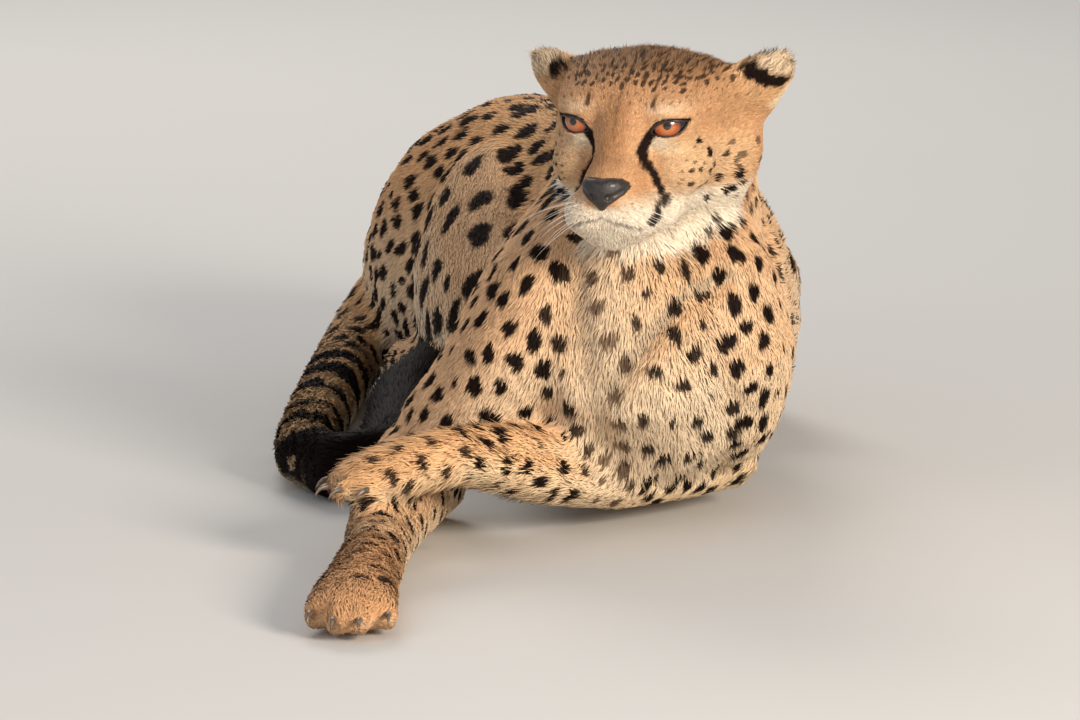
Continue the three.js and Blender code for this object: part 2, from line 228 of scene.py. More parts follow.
def blurred(values, cells):
    """Values spread by a bell curve of so many cells, along each axis in turn."""
    reach = int(3 * cells + 0.5)
    bell = np.exp(-0.5 * (np.arange(-reach, reach + 1) / cells) ** 2)
    bell /= bell.sum()
    for axis in range(3):
        padded = np.pad(values, [(reach, reach) if a == axis else (0, 0) for a in range(3)], mode="edge")
        total = np.zeros_like(values)
        for k, weight in enumerate(bell.astype(np.float32)):
            window = [slice(None)] * 3
            window[axis] = slice(k, k + values.shape[axis])
            total += weight * padded[tuple(window)]
        values = total
    return values


def surface_of(values, level, background, low=(0, 0, 0)):
    """Points in cells and quads where a block of values crosses a level, faces away from the lower side."""
    grid = openvdb.FloatGrid(background)
    grid.copyFromArray(np.ascontiguousarray(values), ijk=tuple(int(i) for i in low))
    points, quads = grid.convertToQuads(isovalue=level)
    points, quads = points.astype(np.float64), quads.astype(np.int32)
    corners = points[quads]
    normals = np.cross(corners[:, 2] - corners[:, 0], corners[:, 3] - corners[:, 1])
    volume = (corners.mean(1) * normals).sum()
    return points, quads if volume > 0 else quads[:, ::-1]


solids = {name: solid_of(name) for name in NODES}
everything = np.concatenate([points for points, _ in solids.values()])
low = np.floor(everything.min(0) / VOXEL).astype(int) - BAND - 3
size = np.ceil(everything.max(0) / VOXEL).astype(int) + BAND + 3 - low
flesh = np.full(size, REACH, np.float32)       # distance to the nearest solid
owner = np.zeros(size, np.int8)                # and which solid that is
for index, name in enumerate(NODES):
    points, triangles = solids[name]
    first = np.floor(points.min(0) / VOXEL).astype(int) - BAND
    extent = np.ceil(points.max(0) / VOXEL).astype(int) + BAND + 1 - first
    block = distances(first, extent, points, triangles=triangles)
    window = tuple(slice(a, a + n) for a, n in zip(first - low, extent))
    closer = block < flesh[window]
    owner[window][closer] = index
    flesh[window][closer] = block[closer]

filled = np.clip(0.5 - (flesh - 0.5) / VOXEL, 0, 1)
coarse = (slice(None, None, 2),) * 3           # every second voxel, for what changes slowly
known = (abs(flesh[coarse]) < REACH - 1).astype(np.float32)
nearby = blurred(known, 2) + 1e-4
depth = blurred(by_node(COAT_DEPTH)[owner[coarse]] * known, 2) / nearby
CRISPNESS = {                                  # how little each solid is blurred into its neighbours
    "head": 0.4, "ear": 1, "eye": 0.4, "nose": 1, "forepaw": 1, "hind": 1, "tail": 0.7,
    "forearm": 0.9, "shank": 0.6, "thigh": 0.6, "shoulder": 0.3, "": 0.1,
}
crisp = np.clip(blurred(by_node(CRISPNESS)[owner[coarse]] * known, 1.5) / nearby * 1.3, 0, 1)
crisp = crisp.repeat(2, 0).repeat(2, 1).repeat(2, 2)[tuple(slice(n) for n in size)]
rounded = blurred(filled, 1.0)
rounded += (blurred(filled, 2.6) - rounded) * (1 - crisp)
points, quads = surface_of(rounded, 0.5, 0.0, low)
tips = distances(low, size, (points * VOXEL).astype(np.float32), quads=quads)


def sampled(block, start, step, p):
    """A block's values at any points in millimetres, in straight lines between its eight nearest cells."""
    result = np.empty(len(p), np.float32)
    for piece in range(0, len(p), 1 << 20):
        at = (p[piece:piece + (1 << 20)].astype(np.float32) - start) / step
        at = np.clip(at, 0, np.array(block.shape) - 1.001).astype(np.float32)
        cell = at.astype(np.int32)
        part = at - cell
        x, y, z = part.T
        value = 0
        for i, j, k in np.ndindex(2, 2, 2):
            weight = (x if i else 1 - x) * (y if j else 1 - y) * (z if k else 1 - z)
            value = value + weight * block[cell[:, 0] + i, cell[:, 1] + j, cell[:, 2] + k]
        result[piece:piece + (1 << 20)] = value
    return result


def step(value, low_end, high_end):
    """0 at one end, 1 at the other, and a smooth S between."""
    t = np.clip((value - low_end) / (high_end - low_end), 0, 1)
    return t * t * (3 - 2 * t)


def melted(first, second, width):
    """The nearer of two distances, with a fillet of about `width` where the two surfaces meet."""
    near = np.clip(0.5 + 0.5 * (second - first) / width, 0, 1)
    return second + (first - second) * near - width * near * (1 - near)


def gaps(p, points, radius, taper=1.0):
    """Distance to a round rod through the points, its radius going to `taper` times itself at the end."""
    best = np.full(len(p), 1e9)
    points = np.asarray(points, float)
    spans = len(points) - 1
    for k, (start, end) in enumerate(zip(points[:-1], points[1:])):
        along = end - start
        t = np.clip((p - start) @ along / (along @ along), 0, 1)
        thickness = radius * (1 + (taper - 1) * (k + t) / spans)
        best = np.minimum(best, np.linalg.norm(p - start - t[:, None] * along, axis=1) - thickness)
    return best


# The head is shaped in its own frame, from between the eyes: x to the animal's right, y out of
# the face, z up. Its masses are bone and muscle melted together; the ears are cupped leaves.
HEAD_YAW, HEAD_PITCH, EYES_AT = 18, 2, place(13, -38, 291)
# Each mass: its middle, then its half sizes. Those beside the middle line are mirrored.
MASSES = np.array([[0, -72, -6, 60, 60, 50], [0, -104, -16, 54, 38, 42], [0, -36, 3, 46, 36, 33],
                   [34, -66, 12, 30, 42, 27], [0, -30, -60, 44, 54, 22], [0, 20, -70, 19, 17, 12],
                   [5, -6, -9, 13, 20, 19], [6, 14, -34, 13, 26, 15], [14, 23, -54, 18, 20, 15],
                   [42, -88, -31, 38, 44, 44], [57, -92, 4, 20, 17, 24], [34, -32, -30, 25, 33, 22],
                   [27, -18, 15, 20, 15, 8]], float)
MASSES = np.concatenate([MASSES, (MASSES * [-1, 1, 1, 1, 1, 1])[MASSES[:, 0] > 0]])
MELT = 5.0                                     # how broadly the masses run together
EYE_RADIUS, EYE_SIDE, EYE_RAISE, EYE_TURN = 17.5, 27.6, 1.5, math.radians(28)
EYE_HALF, LID_ABOVE, LID_BELOW, LID_TILT = 13.4, 5.1, 5.3, 17   # the opening between the lids


def turned(x=0.0, y=0.0, z=0.0, order="XYZ"):
    """A rotation matrix from angles in radians."""
    whole = Matrix.Identity(3)
    for axis in order:
        whole = whole @ Matrix.Rotation({"X": x, "Y": y, "Z": z}[axis], 3, axis)
    return np.array(whole)


def right_half(q):
    """Points on both sides of the head, carried to the animal's right."""
    return np.column_stack([abs(q[:, 0]), q[:, 1:]])


HEAD_TURN = turned(x=math.radians(-HEAD_PITCH), z=math.radians(180 - HEAD_YAW), order="ZXY")


def on_head(p):
    """From the head's frame to the row's."""
    return np.asarray(p, float) @ HEAD_TURN.T + EYES_AT


def in_head(p):
    """From the row's frame to the head's."""
    return (p - EYES_AT) @ HEAD_TURN


def masses_at(q):
    """Negative inside the head as the coat's tips show it: every mass's distance, melted together."""
    total = 0
    for x, y, z, a, b, c in MASSES:
        k = np.sqrt(((q[:, 0] - x) / a) ** 2 + ((q[:, 1] - y) / b) ** 2 + ((q[:, 2] - z) / c) ** 2)
        total = total + np.exp(np.clip(-((k - 1) * min(a, b, c)) / MELT, -60, 60))
    return -MELT * np.log(total + 1e-30)


def face_depth(q):
    """How deep the coat is on the head: thin on muzzle and lids, deep on cheeks, nape and throat."""
    x, y, z = abs(q[:, 0]), q[:, 1], q[:, 2]
    ruff = step(y, 0, -45) * step(z, -8, -60) * 5.5
    crown = step(y, -10, -80) * 2.5
    sides = step(x, 42, 66) * step(y, -20, -60) * 2.0
    return 1.9 + ruff + crown + sides + 1.8 * step(z, -58, -76)


def eye_plane(q, side):
    """Across and up in the plane of one eye's opening, from the eyeball's middle."""
    out, ahead = q[:, 0] * side - EYE_SIDE, q[:, 1] + EYE_RADIUS
    across = out * math.cos(EYE_TURN) - ahead * math.sin(EYE_TURN)
    up = q[:, 2] - EYE_RAISE
    tilt = math.radians(LID_TILT)
    return across * math.cos(tilt) + up * math.sin(tilt), up * math.cos(tilt) - across * math.sin(tilt)


def lid_lines(u, margin=0.0):
    """Heights of the lids' edges across the eye: the upper is highest near the nose, then runs straight."""
    s = np.clip(u / (EYE_HALF + margin), -1, 1)
    fall = 1 - s ** 2
    above = (LID_ABOVE + margin) * fall ** 0.6 * (1 - 0.6 * s)
    return above, (LID_BELOW + margin) * fall ** 0.9 * (1 + 0.2 * s)


def opening(q, side, margin=0.0):
    """Below zero inside the almond between the lids."""
    u, v = eye_plane(q, side)
    above, below = lid_lines(u, margin)
    return np.maximum(np.maximum(v - above, -below - v), abs(u) - EYE_HALF - margin)


EAR_SEAT, EAR_LEAN = np.array([63.0, -86.0, 14.0]), (-0.15, 0.95, -0.85)
EAR_LENGTH = {-1: 27, 1: 22}                   # half the leaf; the right ear is folded back further


def in_ear(q, side):
    """From the head's frame to an ear's: z along the leaf from its seat, y out of its hollow."""
    turn = turned(EAR_LEAN[0], side * EAR_LEAN[1], side * EAR_LEAN[2], order="YXZ")
    return (q - EAR_SEAT * [side, 1, 1]) @ turn


def egg(q, centre, radii):
    """About the distance to an ellipsoid."""
    k = np.linalg.norm((q - centre) / radii, axis=1)
    return (k - 1) * min(radii)


MOUTH = [(0, 47, -54), (6, 46, -56), (14, 45, -58), (22, 41, -61), (28, 35, -63), (33, 25, -62),
         (36, 12, -60)]
PHILTRUM = [(0, 50, -47), (0, 48, -55)]
SOCKET_DEPTH = 17                              # how far the opening between the lids goes in


def head_skin(q):
    """The bare head: masses less the coat, with lids over the eyeballs, mouth, chin and ears."""
    skin = masses_at(q) + face_depth(q)
    for side in (-1, 1):
        ear = in_ear(q, side)
        length = EAR_LENGTH[side]
        leaf = egg(ear, (0, 0, length - 13), (18.5, 8.5, length - 1.5))
        hollow = egg(ear, (0, -8, length - 12), (13.5, 9, length - 7))
        leaf = -melted(-leaf, hollow, 2.0)
        root = egg(ear, (0, 1, -5), (25, 12, 21))
        skin = melted(melted(skin, root, 10.0), leaf, 9.0)
        socket = np.array([side * EYE_SIDE, -EYE_RADIUS, EYE_RAISE])
        lids = np.linalg.norm(q - socket, axis=1) - EYE_RADIUS - 1.8
        skin = melted(skin, lids, 7.0)
        gap = np.maximum(opening(q, side, 1.2), -SOCKET_DEPTH - q[:, 1])
        skin = -melted(-skin, gap, 0.8)
    mouth = gaps(right_half(q), MOUTH, 1.3)
    skin = -melted(-skin, mouth, 2.5)
    lip = gaps(q, PHILTRUM, 1.2)
    return -melted(-skin, lip, 2.0)


# Folds of the coat on the body: between the breast and each arm, at the crossed forearm and
# behind the upper arm, whose outer side is a little hollow.
CHEST_CREASE = [(-14, -7, 194), (-15, -17, 176), (-13, -25, 157), (-10, -30, 137), (-6, -31, 116),
                (-2, -25, 94), (2, -6, 66)]
ARM_FOLD = [(84, -8, 184), (56, -23, 171), (41, -33, 155), (27, -37, 138), (14, -37, 122), (4, -34, 108)]
ELBOW_FOLD = [(-2, 6, 44), (-26, -22, 60), (-52, -46, 70), (-84, -66, 84)]
ARM_BACK = [(92, 152, 238), (108, 142, 212), (118, 114, 172), (124, 108, 128), (118, 124, 92)]
ARM_HOLLOW = [(128, 66, 186), (126, 70, 168)]
FOLDS = ((CHEST_CREASE, 11, 5.0), (ARM_FOLD, 6.5, 9.0), (ELBOW_FOLD, 7, 4.5), (ARM_BACK, 11, 6.0),
         (ARM_HOLLOW, 34, 7.0))                # how wide and how deep each is
HEAD_MIDDLE, HEAD_REACH = on_head((0, -48, -14)), 155
HIDE_REACH = 12.0                              # distances from the skin are kept only up to this


def skin_at(p):
    """Negative inside the skin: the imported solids' outline less the coat, and the shaped head."""
    body = sampled(tips, low * VOXEL, VOXEL, p)
    lying = 0.3 + 0.7 * step(p[:, 2], 2, 40)
    body = body + sampled(depth, low * VOXEL, 2 * VOXEL, p) * lying
    work = p - ORIGIN
    for fold, width, sunk in FOLDS:
        box = np.array(fold)
        inside = (work > box.min(0) - 2.5 * width) & (work < box.max(0) + 2.5 * width)
        close = np.flatnonzero(inside.all(1) & (abs(body) < HIDE_REACH + 4))
        body[close] += sunk * np.exp(-(gaps(work[close], fold, 0.0) / width) ** 2)
    near = np.linalg.norm(p - HEAD_MIDDLE, axis=1) < HEAD_REACH
    body[near] = melted(body[near], head_skin(in_head(p[near])), 5.0)
    return body


FINE, BROAD, FINE_REACH = 1.7, 5.3, 50        # cell at the face and far from it, and where it widens
EASE = 9                                       # over how many cells it does so


def drawn_out(s):
    """Distance from the head's middle, for a distance in cells: small cells near it, broad ones far off."""
    return FINE * s + (BROAD - FINE) * EASE * np.logaddexp(0, (s - FINE_REACH) / EASE)


ladder = np.arange(0, 400.0)
rungs = drawn_out(ladder)
solid_low, solid_high = everything.min(0) - HIDE_REACH, everything.max(0) + HIDE_REACH
first = -np.ceil(np.interp(HEAD_MIDDLE - solid_low, rungs, ladder)).astype(int)
last = np.ceil(np.interp(solid_high - HEAD_MIDDLE, rungs, ladder)).astype(int)
cells = np.stack(np.meshgrid(*[np.arange(a, b + 1, dtype=np.float32) for a, b in zip(first, last)],
                             indexing="ij"), -1)


def from_cells(q):
    """Cells counted from the head's middle to millimetres in the row frame."""
    far = np.linalg.norm(q, axis=-1, keepdims=True)
    return q * (drawn_out(far) / np.maximum(far, 1e-6)) + HEAD_MIDDLE


field = np.clip(skin_at(from_cells(cells.reshape(-1, 3))), -HIDE_REACH, HIDE_REACH).reshape(cells.shape[:3])
skin_points, skin_quads = surface_of(field, 0.0, HIDE_REACH, first)
skin_points = from_cells(skin_points)


def slope(p, reach=0.8):
    """The direction in which the distance to the skin grows fastest."""
    parts = []
    for axis in np.eye(3):
        parts.append(skin_at(p + axis * reach) - skin_at(p - axis * reach))
    return np.stack(parts, -1) / (2 * reach)


for _ in range(2):                             # drawn onto the surface itself
    rise = slope(skin_points)
    steep = np.maximum((rise ** 2).sum(1), 0.09)
    skin_points -= rise * (np.clip(skin_at(skin_points) / steep, -2, 2))[:, None]


# Which way the hair lies. It streams back from the nose over the head, down the neck and chest,
# back along the trunk, down each leg to the toes and along the tail to its tip.
TAIL = [(-130, 614, 84), (-158, 616, 60), (-178, 580, 36), (-190, 510, 27), (-198, 410, 26), (-205, 310, 25),
        (-209, 235, 25), (-205, 172, 26), (-181, 128, 27), (-153, 146, 28), (-145, 195, 29), (-142, 252, 33),
        (-137, 312, 45), (-128, 358, 60)]
STREAMS = {
    "neck": [(42, 70, 300), (38, 84, 220), (34, 110, 120)],
    "breast": [(20, -40, 250), (26, -10, 110), (34, 60, 60), (40, 225, 70)],
    "belly": [(41, 215, 190), (15, 370, 135), (-28, 485, 80)],
    "rump": [(-20, 470, 170), (-84, 556, 100), (-136, 612, 40)],
    "shoulder_left": [(56, 112, 260), (74, 60, 212), (96, 30, 128), (96, 50, 60)],
    "shoulder_right": [(2, 120, 250), (-30, 60, 200), (-66, 26, 126), (-112, 50, 50)],
    "forearm_left": [(90, 116, 50), (54, 82, 46), (6, 38, 45), (-44, -12, 54), (-92, -58, 69)],
    "forearm_right": [(-122, 74, 38), (-132, 30, 34), (-150, -110, 23), (-153, -185, 23)],
    "forepaw_left": [(-92, -58, 70), (-184, -124, 60)],
    "forepaw_right": [(-153, -185, 23), (-168, -372, 20)],
    "thigh_right": [(-66, 556, 190), (-74, 460, 126), (-66, 330, 80), (-56, 280, 40)],
    "thigh_left": [(8, 590, 190), (56, 520, 130), (124, 438, 80)],
    "shank_right": [(-64, 290, 60), (-118, 418, 44), (-140, 476, 34)],
    "shank_left": [(124, 446, 82), (74, 562, 52), (50, 612, 34)],
    "hind_foot_right": [(-138, 468, 23), (-54, 250, 19)],
    "hind_foot_left": [(52, 604, 23), (120, 408, 19)],
    "tail": TAIL,
}
NOSE_TIP = (0, 50, -44)


def unit(v):
    """Vectors of length 1."""
    return v / np.maximum(np.linalg.norm(v, axis=-1, keepdims=True), 1e-9)


def along(points, p):
    """The direction of the nearest stretch of a path, eased between stretches, and how far along it is."""
    points = np.array([place(*point) for point in points])
    spans = np.diff(points, axis=0)
    reach = np.concatenate([[0], np.cumsum(np.linalg.norm(spans, axis=1))])
    gap, where_on = [], []
    for start, span in zip(points[:-1], spans):
        t = np.clip((p - start) @ span / (span @ span), 0, 1)
        gap.append(np.linalg.norm(p - start - t[:, None] * span, axis=1))
        where_on.append(t * np.linalg.norm(span))
    gap = np.stack(gap, 1)
    weight = np.exp(-(gap - gap.min(1, keepdims=True)) / 6)
    weight /= weight.sum(1, keepdims=True)
    fraction = ((np.stack(where_on, 1) + reach[:-1]) * weight).sum(1) / reach[-1]
    return weight @ unit(spans), fraction


def stream(p):
    """The hair's direction at points in the row frame, before it is laid on the surface."""
    direction = np.zeros((len(p), 3))
    for index, name in enumerate(NODES):
        share = belongs[:, index]
        here = share > 0.01
        if not here.any():
            continue
        q = in_head(p[here])
        if name.startswith("ear"):
            side = -1 if name.endswith("left") else 1
            seat = EAR_SEAT * [side, 1, 1]
            way = unit(q - seat + [0, 0, 10]) @ HEAD_TURN.T
        elif name in ("head", "nose", "eye_left", "eye_right"):
            cheek = step(q[:, 2], -10, -60)[:, None]
            way = unit(unit(q - NOSE_TIP) + cheek * [0, -0.2, -0.45]) @ HEAD_TURN.T
        else:
            way = along(first_of(STREAMS, name), p[here])[0]
        direction[here] += way * share[here, None]
    return direction


def normals_of(points, quads):
    """Corner normals, from the crossed diagonals of the faces round each corner."""
    corners = points[quads]
    flat = np.cross(corners[:, 2] - corners[:, 0], corners[:, 3] - corners[:, 1])
    total = np.zeros_like(points)
    for k in range(4):
        for axis in range(3):
            total[:, axis] += np.bincount(quads[:, k], flat[:, axis], len(points))
    return unit(total)


def evened(values, rounds):
    """Values at the skin's corners, each drawn towards the mean of its neighbours."""
    for _ in range(rounds):
        values = (values + np.add.reduceat(values[neighbours], starts, axis=0)) * share_of_one
    return values


pairs = np.concatenate([skin_quads[:, [k, (k + 1) % 4]] for k in range(4)])
pairs = np.concatenate([pairs, pairs[:, ::-1]]).astype(np.int64) @ [len(skin_points), 1]
pairs = np.stack(np.divmod(np.unique(pairs), len(skin_points)), 1)
neighbours = pairs[:, 1]
counts = np.bincount(pairs[:, 0], minlength=len(skin_points))
share_of_one = (1 / (counts + 1)).astype(np.float32)[:, None]
starts = np.concatenate([[0], np.cumsum(counts)[:-1]])
skin_normals = normals_of(skin_points, skin_quads)
cell = np.round(skin_points / VOXEL - low).astype(int)
belongs = evened(np.eye(len(NODES), dtype=np.float32)[owner[tuple(cell.T)]], 12)
lie = stream(skin_points)
for _ in range(5):
    lie = unit(evened(lie, 2))
    lie = unit(lie - (lie * skin_normals).sum(1, keepdims=True) * skin_normals)


# ---------------------------------------------------------------------------------------------
# The markings, which skin and coat share. Tawny above and cream below; black oval spots, small on
# neck and legs, large on thigh and flank; a tail that is ringed and then black; a black tear line
# from each eye to the corner of the mouth, and rows of small spots behind it.
chance = np.random.default_rng(11)


def shade(code):
    """Linear colour from the six-figure code of a paint chart."""
    part = np.array([int(code[k:k + 2], 16) for k in (0, 2, 4)]) / 255
    return np.where(part <= 0.04045, part / 12.92, ((part + 0.055) / 1.055) ** 2.4)


BLACK_FUR, BROWN_FUR, WHITE_FUR = shade("211713"), shade("6e4a30"), shade("f6ead8")
COATS = {                                      # the colour above, and the colour below
    "neck": ("e9b88c", "f0cfa8"), "breast": ("e3b88d", "efd5b4"), "belly": ("dcac7c", "f2e4cf"),
    "shoulder": ("e4b78c", "ebcda9"), "forearm_left": ("eeba88", "f2d2aa"),
    "forearm_right": ("ecbd90", "f0d2ac"), "forepaw_left": ("eab684", "eecaa0"),
    "forepaw_right": ("d8a476", "e0b48a"), "rump": ("d6a577", "ecd3b1"), "thigh": ("e0b68c", "f0ddc2"),
    "shank": ("dfb48a", "f1e0c7"),
    "hind": ("d8a875", "e4c39a"), "tail": ("cfa578", "e2ccaa"), "": ("d9a573", "eac392"),
}
colour_above, colour_below = (np.array([shade(first_of(COATS, name)[k]) for name in NODES]) for k in (0, 1))

SPOTS = [  # where; gap along and across the lie of the hair; half length, half width; strength
    ("rump", 17.5, 13.5, 8.4, 5.8, 1.0), ("belly", 23, 19, 10.4, 8.6, 1.0),
    ("breast", 20, 17, 6.4, 5.6, 0.97), ("neck", 15.5, 14, 4.2, 5.6, 0.95),
    ("shoulder", 18.5, 16.5, 7.0, 6.1, 1.0),
    ("thigh_right", 32, 27, 12.2, 10.4, 1.0), ("thigh_left", 20, 17, 8.6, 6.8, 1.0),
    ("shank", 17, 14, 6.6, 5.6, 1.0), ("forearm_right", 20, 16, 4.8, 6.6, 1.0),
    ("forearm_left", 17, 14, 5.4, 6.6, 1.0), ("forepaw", 18, 15, 4.4, 5.6, 0.95),
    ("hind", 14.5, 12, 3.8, 5.2, 0.9), ("tail_root", 19, 15, 7.6, 6.0, 1.0),
]
HEAD_SPOTS = [  # side, out, up from between the eyes; half length, half width; strength
    (51, -24, -10, 3.3, 2.4, 1), (58, -32, -19, 5.6, 3.1, 1), (61, -40, -30, 3.8, 2.7, 1),
    (67, -56, -16, 3.2, 2.2, .7), (65, -50, -25, 3.8, 2.5, .9), (73, -63, -27, 4.8, 3.1, .7),
    (69, -56, -31, 2.5, 1.9, .8), (55, -13, -29, 2.2, 2, .9), (50, -6, -29, 2.6, 1.6, .9),
    (59, -28, -33, 2.7, 2.4, 1), (60, -48, -44, 3.7, 3.1, 1), (55, -34, -44, 3.4, 2.6, .95),
    (49, -8, -40, 2.7, 2.2, .9), (44, -2, -34, 1.7, 1.3, .5), (43, -2, -38, 1.5, 1.3, .5),
    (71, -62, -43, 5, 3.6, 1), (62, -57, -54, 4, 3.5, 1), (66, -64, -55, 4.4, 3, 1),
    (50, -50, -59, 4.2, 3, .95), (51, -65, -69, 4.4, 3.4, .9), (46, -55, -76, 4.2, 3.1, .85),
    (64, -64, -35, 3, 2.2, .8), (68, -72, -50, 3.6, 2.6, .9), (54, -38, -38, 1.8, 1.2, .6),
    (51, -10, -22, 1.7, 1.1, .6), (45, -7, -20, 1.4, 0.9, .5), (44, -2, -27, 1.5, 1.1, .6),
    (56, -18, -25, 1.8, 1.3, .7), (53, -22, -44, 2.1, 1.5, .7), (49, -17, -13, 1.6, 1.1, .5),
    (65, -74, -63, 3.4, 2.6, .8), (48, -22, -50, 2.2, 1.4, .5), (75, -84, -20, 4, 3, .7),
    (77, -92, -36, 4.4, 3.2, .8), (33, -31, 33, 3.6, 2.2, .85), (38, -32, 32, 2.4, 1.8, .8),
    (22, -35, 37, 2.2, 1.8, .8),
]
TEAR = [(24, -1, -1), (21, 2, -4), (18.5, 6, -9), (17.5, 9, -14), (19, 9, -20), (22, 7, -26), (25, 5, -32),
        (27, 5, -37), (30, 6, -43)]
TEAR_END = [(32, 5, -46), (34, 13, -50), (34.5, 22, -54), (33, 28, -58)]
# painted shade: a soft dark line down the middle of the brow, where the forehead's crease lies in shade
BROW_CREASE_SHADE = [(0, -30, 36), (0, 5, 19), (0, 12, 8), (0, 17, -4)]
BROW_MARKS = [[(23, -1, 16), (24.5, -6, 29)], [(21, -15, 29.5), (21, -23, 34)]]
across = np.cross(skin_normals, lie)
corners = skin_points[skin_quads]
crossed = np.cross(corners[:, 2] - corners[:, 0], corners[:, 3] - corners[:, 1])
face_area = 0.5 * np.linalg.norm(crossed, axis=1)
corner_area = sum(np.bincount(skin_quads[:, k], face_area / 4, len(skin_points)) for k in range(4))


def thrown(share, gap_along, gap_across, tries, taken):
    """Corners of the skin that keep clear of each other and of those taken, by more along the hair."""
    odds = corner_area * np.clip(share, 0, 1)
    drawn = chance.choice(len(odds), tries, p=odds / odds.sum())
    kept, taken = [], [i for i in taken if share[i] > 0.01]
    for i in drawn:
        gone = skin_points[taken + kept] - skin_points[i]
        frame_of = np.stack([lie[i] / gap_along, across[i] / gap_across, skin_normals[i] / gap_across], 1)
        if len(gone) == 0 or ((gone @ frame_of) ** 2).sum(1).min() > 1:
            kept.append(int(i))
    return kept


HEAD = ("head", "ear", "eye", "nose")


def part_of(share, prefix):
    """How far each point belongs to the solids whose names start so."""
    return share[:, [n.startswith(prefix) for n in NODES]].sum(1)


def ripple(p, size, seed=0.0):
    """Slow uneven waves, about -1 to 1, with humps of roughly `size` millimetres."""
    k = 2 * math.pi / size
    broad = (np.sin(p @ (k * np.array([0.61, 0.35, 0.71])) + seed)
             * np.sin(p @ (k * np.array([-0.42, 0.8, 0.33])) + 2 * seed))
    fine = 0.6 * np.sin(p @ (k * np.array([0.9, -0.7, 1.1])) + 3 * seed)
    return broad + fine * np.sin(p @ (k * np.array([1.0, 0.9, -0.8])))


def below_jaw(q):
    """1 in the white ruff that hangs from the jaw over throat and neck, 0 beyond it."""
    x, y, z = abs(q[:, 0]), q[:, 1], q[:, 2]
    hem = -92 + 14 * step(x, 36, 60) + 3 * ripple(q, 17)
    return step(z, hem - 4, hem + 4) * step(z, -44, -54) * step(y, -96, -76) * step(q[:, 0], 44, 32)


def strewn(share, gap_along, gap_across, tries, halves):
    """Spots thrown on part of the skin. `halves` gives half length, half width and strength of so many."""
    found = thrown(share, gap_along, gap_across, tries, spot_at)
    spot_at.extend(found)
    spot_half.extend(halves(len(found)))


def ovals(half_a, half_b, strength):
    """Spots a little unlike in length and width, about one in six of them much smaller."""
    def halves(count):
        sized = chance.uniform(0.72, 1.2, (count, 2))
        small_one = np.where(chance.random(count) < 0.16, 0.55, 1)
        return [(half_a * a * c, half_b * b * c, strength) for (a, b), c in zip(sized, small_one)]

    return halves


def flecks(count):
    """The crown's short narrow marks."""
    half_lengths, half_widths = chance.uniform(2.2, 4.8, count), chance.uniform(1.1, 2.1, count)
    return [(a, b, 0.85) for a, b in zip(half_lengths, half_widths)]


spot_at, spot_half = [], []                    # corner of the skin; half length, half width, strength
head_place = in_head(skin_points)
on_the_head = sum(part_of(belongs, prefix) for prefix in HEAD)
underneath = step(-skin_normals[:, 2], 0.55, 0.9)
for where_from, gap_a, gap_b, half_a, half_b, strength in SPOTS:
    share = part_of(belongs, where_from)
    share = share * (share > 0.45) * (1 - underneath)
    if where_from == "forepaw":                # none on the toes
        mostly, work = np.argmax(belongs, 1), skin_points - ORIGIN
        share = share * ((mostly == NODES.index("forepaw_right")) * step(work[:, 1], -318, -285)
                         + (mostly == NODES.index("forepaw_left")) * step(work[:, 0], -160, -140))
    if where_from in ("breast", "neck"):
        share = share * (1 - below_jaw(head_place))
    if where_from == "breast":
        share = share * step(gaps(skin_points - ORIGIN, CHEST_CREASE, 0.0), 9, 20)
    strewn(share, gap_a, gap_b, 5000, ovals(half_a, half_b, strength))
crown = on_the_head * step(head_place[:, 2], 22, 36) * step(head_place[:, 1], 0, -30)
crown = crown * (part_of(belongs, "ear") < 0.3)
strewn(crown, 6.6, 4.8, 3000, flecks)
brow = (on_the_head > 0.9) * step(head_place[:, 2], 12, 20) * step(head_place[:, 2], 40, 30)
brow = brow * step(head_place[:, 1], 6, -8)
strewn(brow, 7, 5, 2500, lambda count: [(a, 0.75, 0.5) for a in chance.uniform(1.2, 2.4, count)])
nape = on_the_head * step(head_place[:, 1], -96, -112) * step(head_place[:, 2], 36, 22)
strewn(nape, 14, 12, 900, lambda count: [(3.6, 2.6, 0.9)] * count)
for side in (-1, 1):
    for x, y, z, half_a, half_b, strength in HEAD_SPOTS:
        away = np.linalg.norm(head_place - [x * side, y, z], axis=1)
        spot_at.append(int(away.argmin()))
        spot_half.append((half_a, half_b, strength))
spot_half = np.array(spot_half)
wobble = chance.uniform(0, 2 * math.pi, (len(spot_at), 3))


def spotted(p):
    """How black each point is: within a spot's uneven oval, its longer half laid along the hair."""
    order = np.argsort(p[:, 1])
    sorted_y = p[order, 1]
    dark = np.zeros(len(p), np.float32)
    for corner, (half_a, half_b, strength), turn in zip(spot_at, spot_half, wobble):
        centre, reach = skin_points[corner], 1.3 * max(half_a, half_b)
        span = order[slice(*np.searchsorted(sorted_y, [centre[1] - reach, centre[1] + reach]))]
        gone = p[span] - centre
        span, gone = (a[(abs(gone[:, 0]) < reach) & (abs(gone[:, 2]) < reach)] for a in (span, gone))
        u, v = gone @ lie[corner] / half_a, gone @ across[corner] / half_b
        around = np.arctan2(v, u)
        uneven = 1 + 0.12 * np.sin(2 * around + turn[0]) + 0.09 * np.sin(3 * around + turn[1])
        out = (abs(u) ** 2.3 + abs(v) ** 2.3) ** (1 / 2.3) * (uneven + 0.05 * np.sin(5 * around + turn[2]))
        dark[span] = np.maximum(dark[span], strength * (1 - step(out, 0.82, 1.14)))
    return dark


def mixed(first, second, amount):
    """Between two colours, by an amount for each point."""
    return first + (second - first) * np.clip(amount, 0, 1)[:, None]


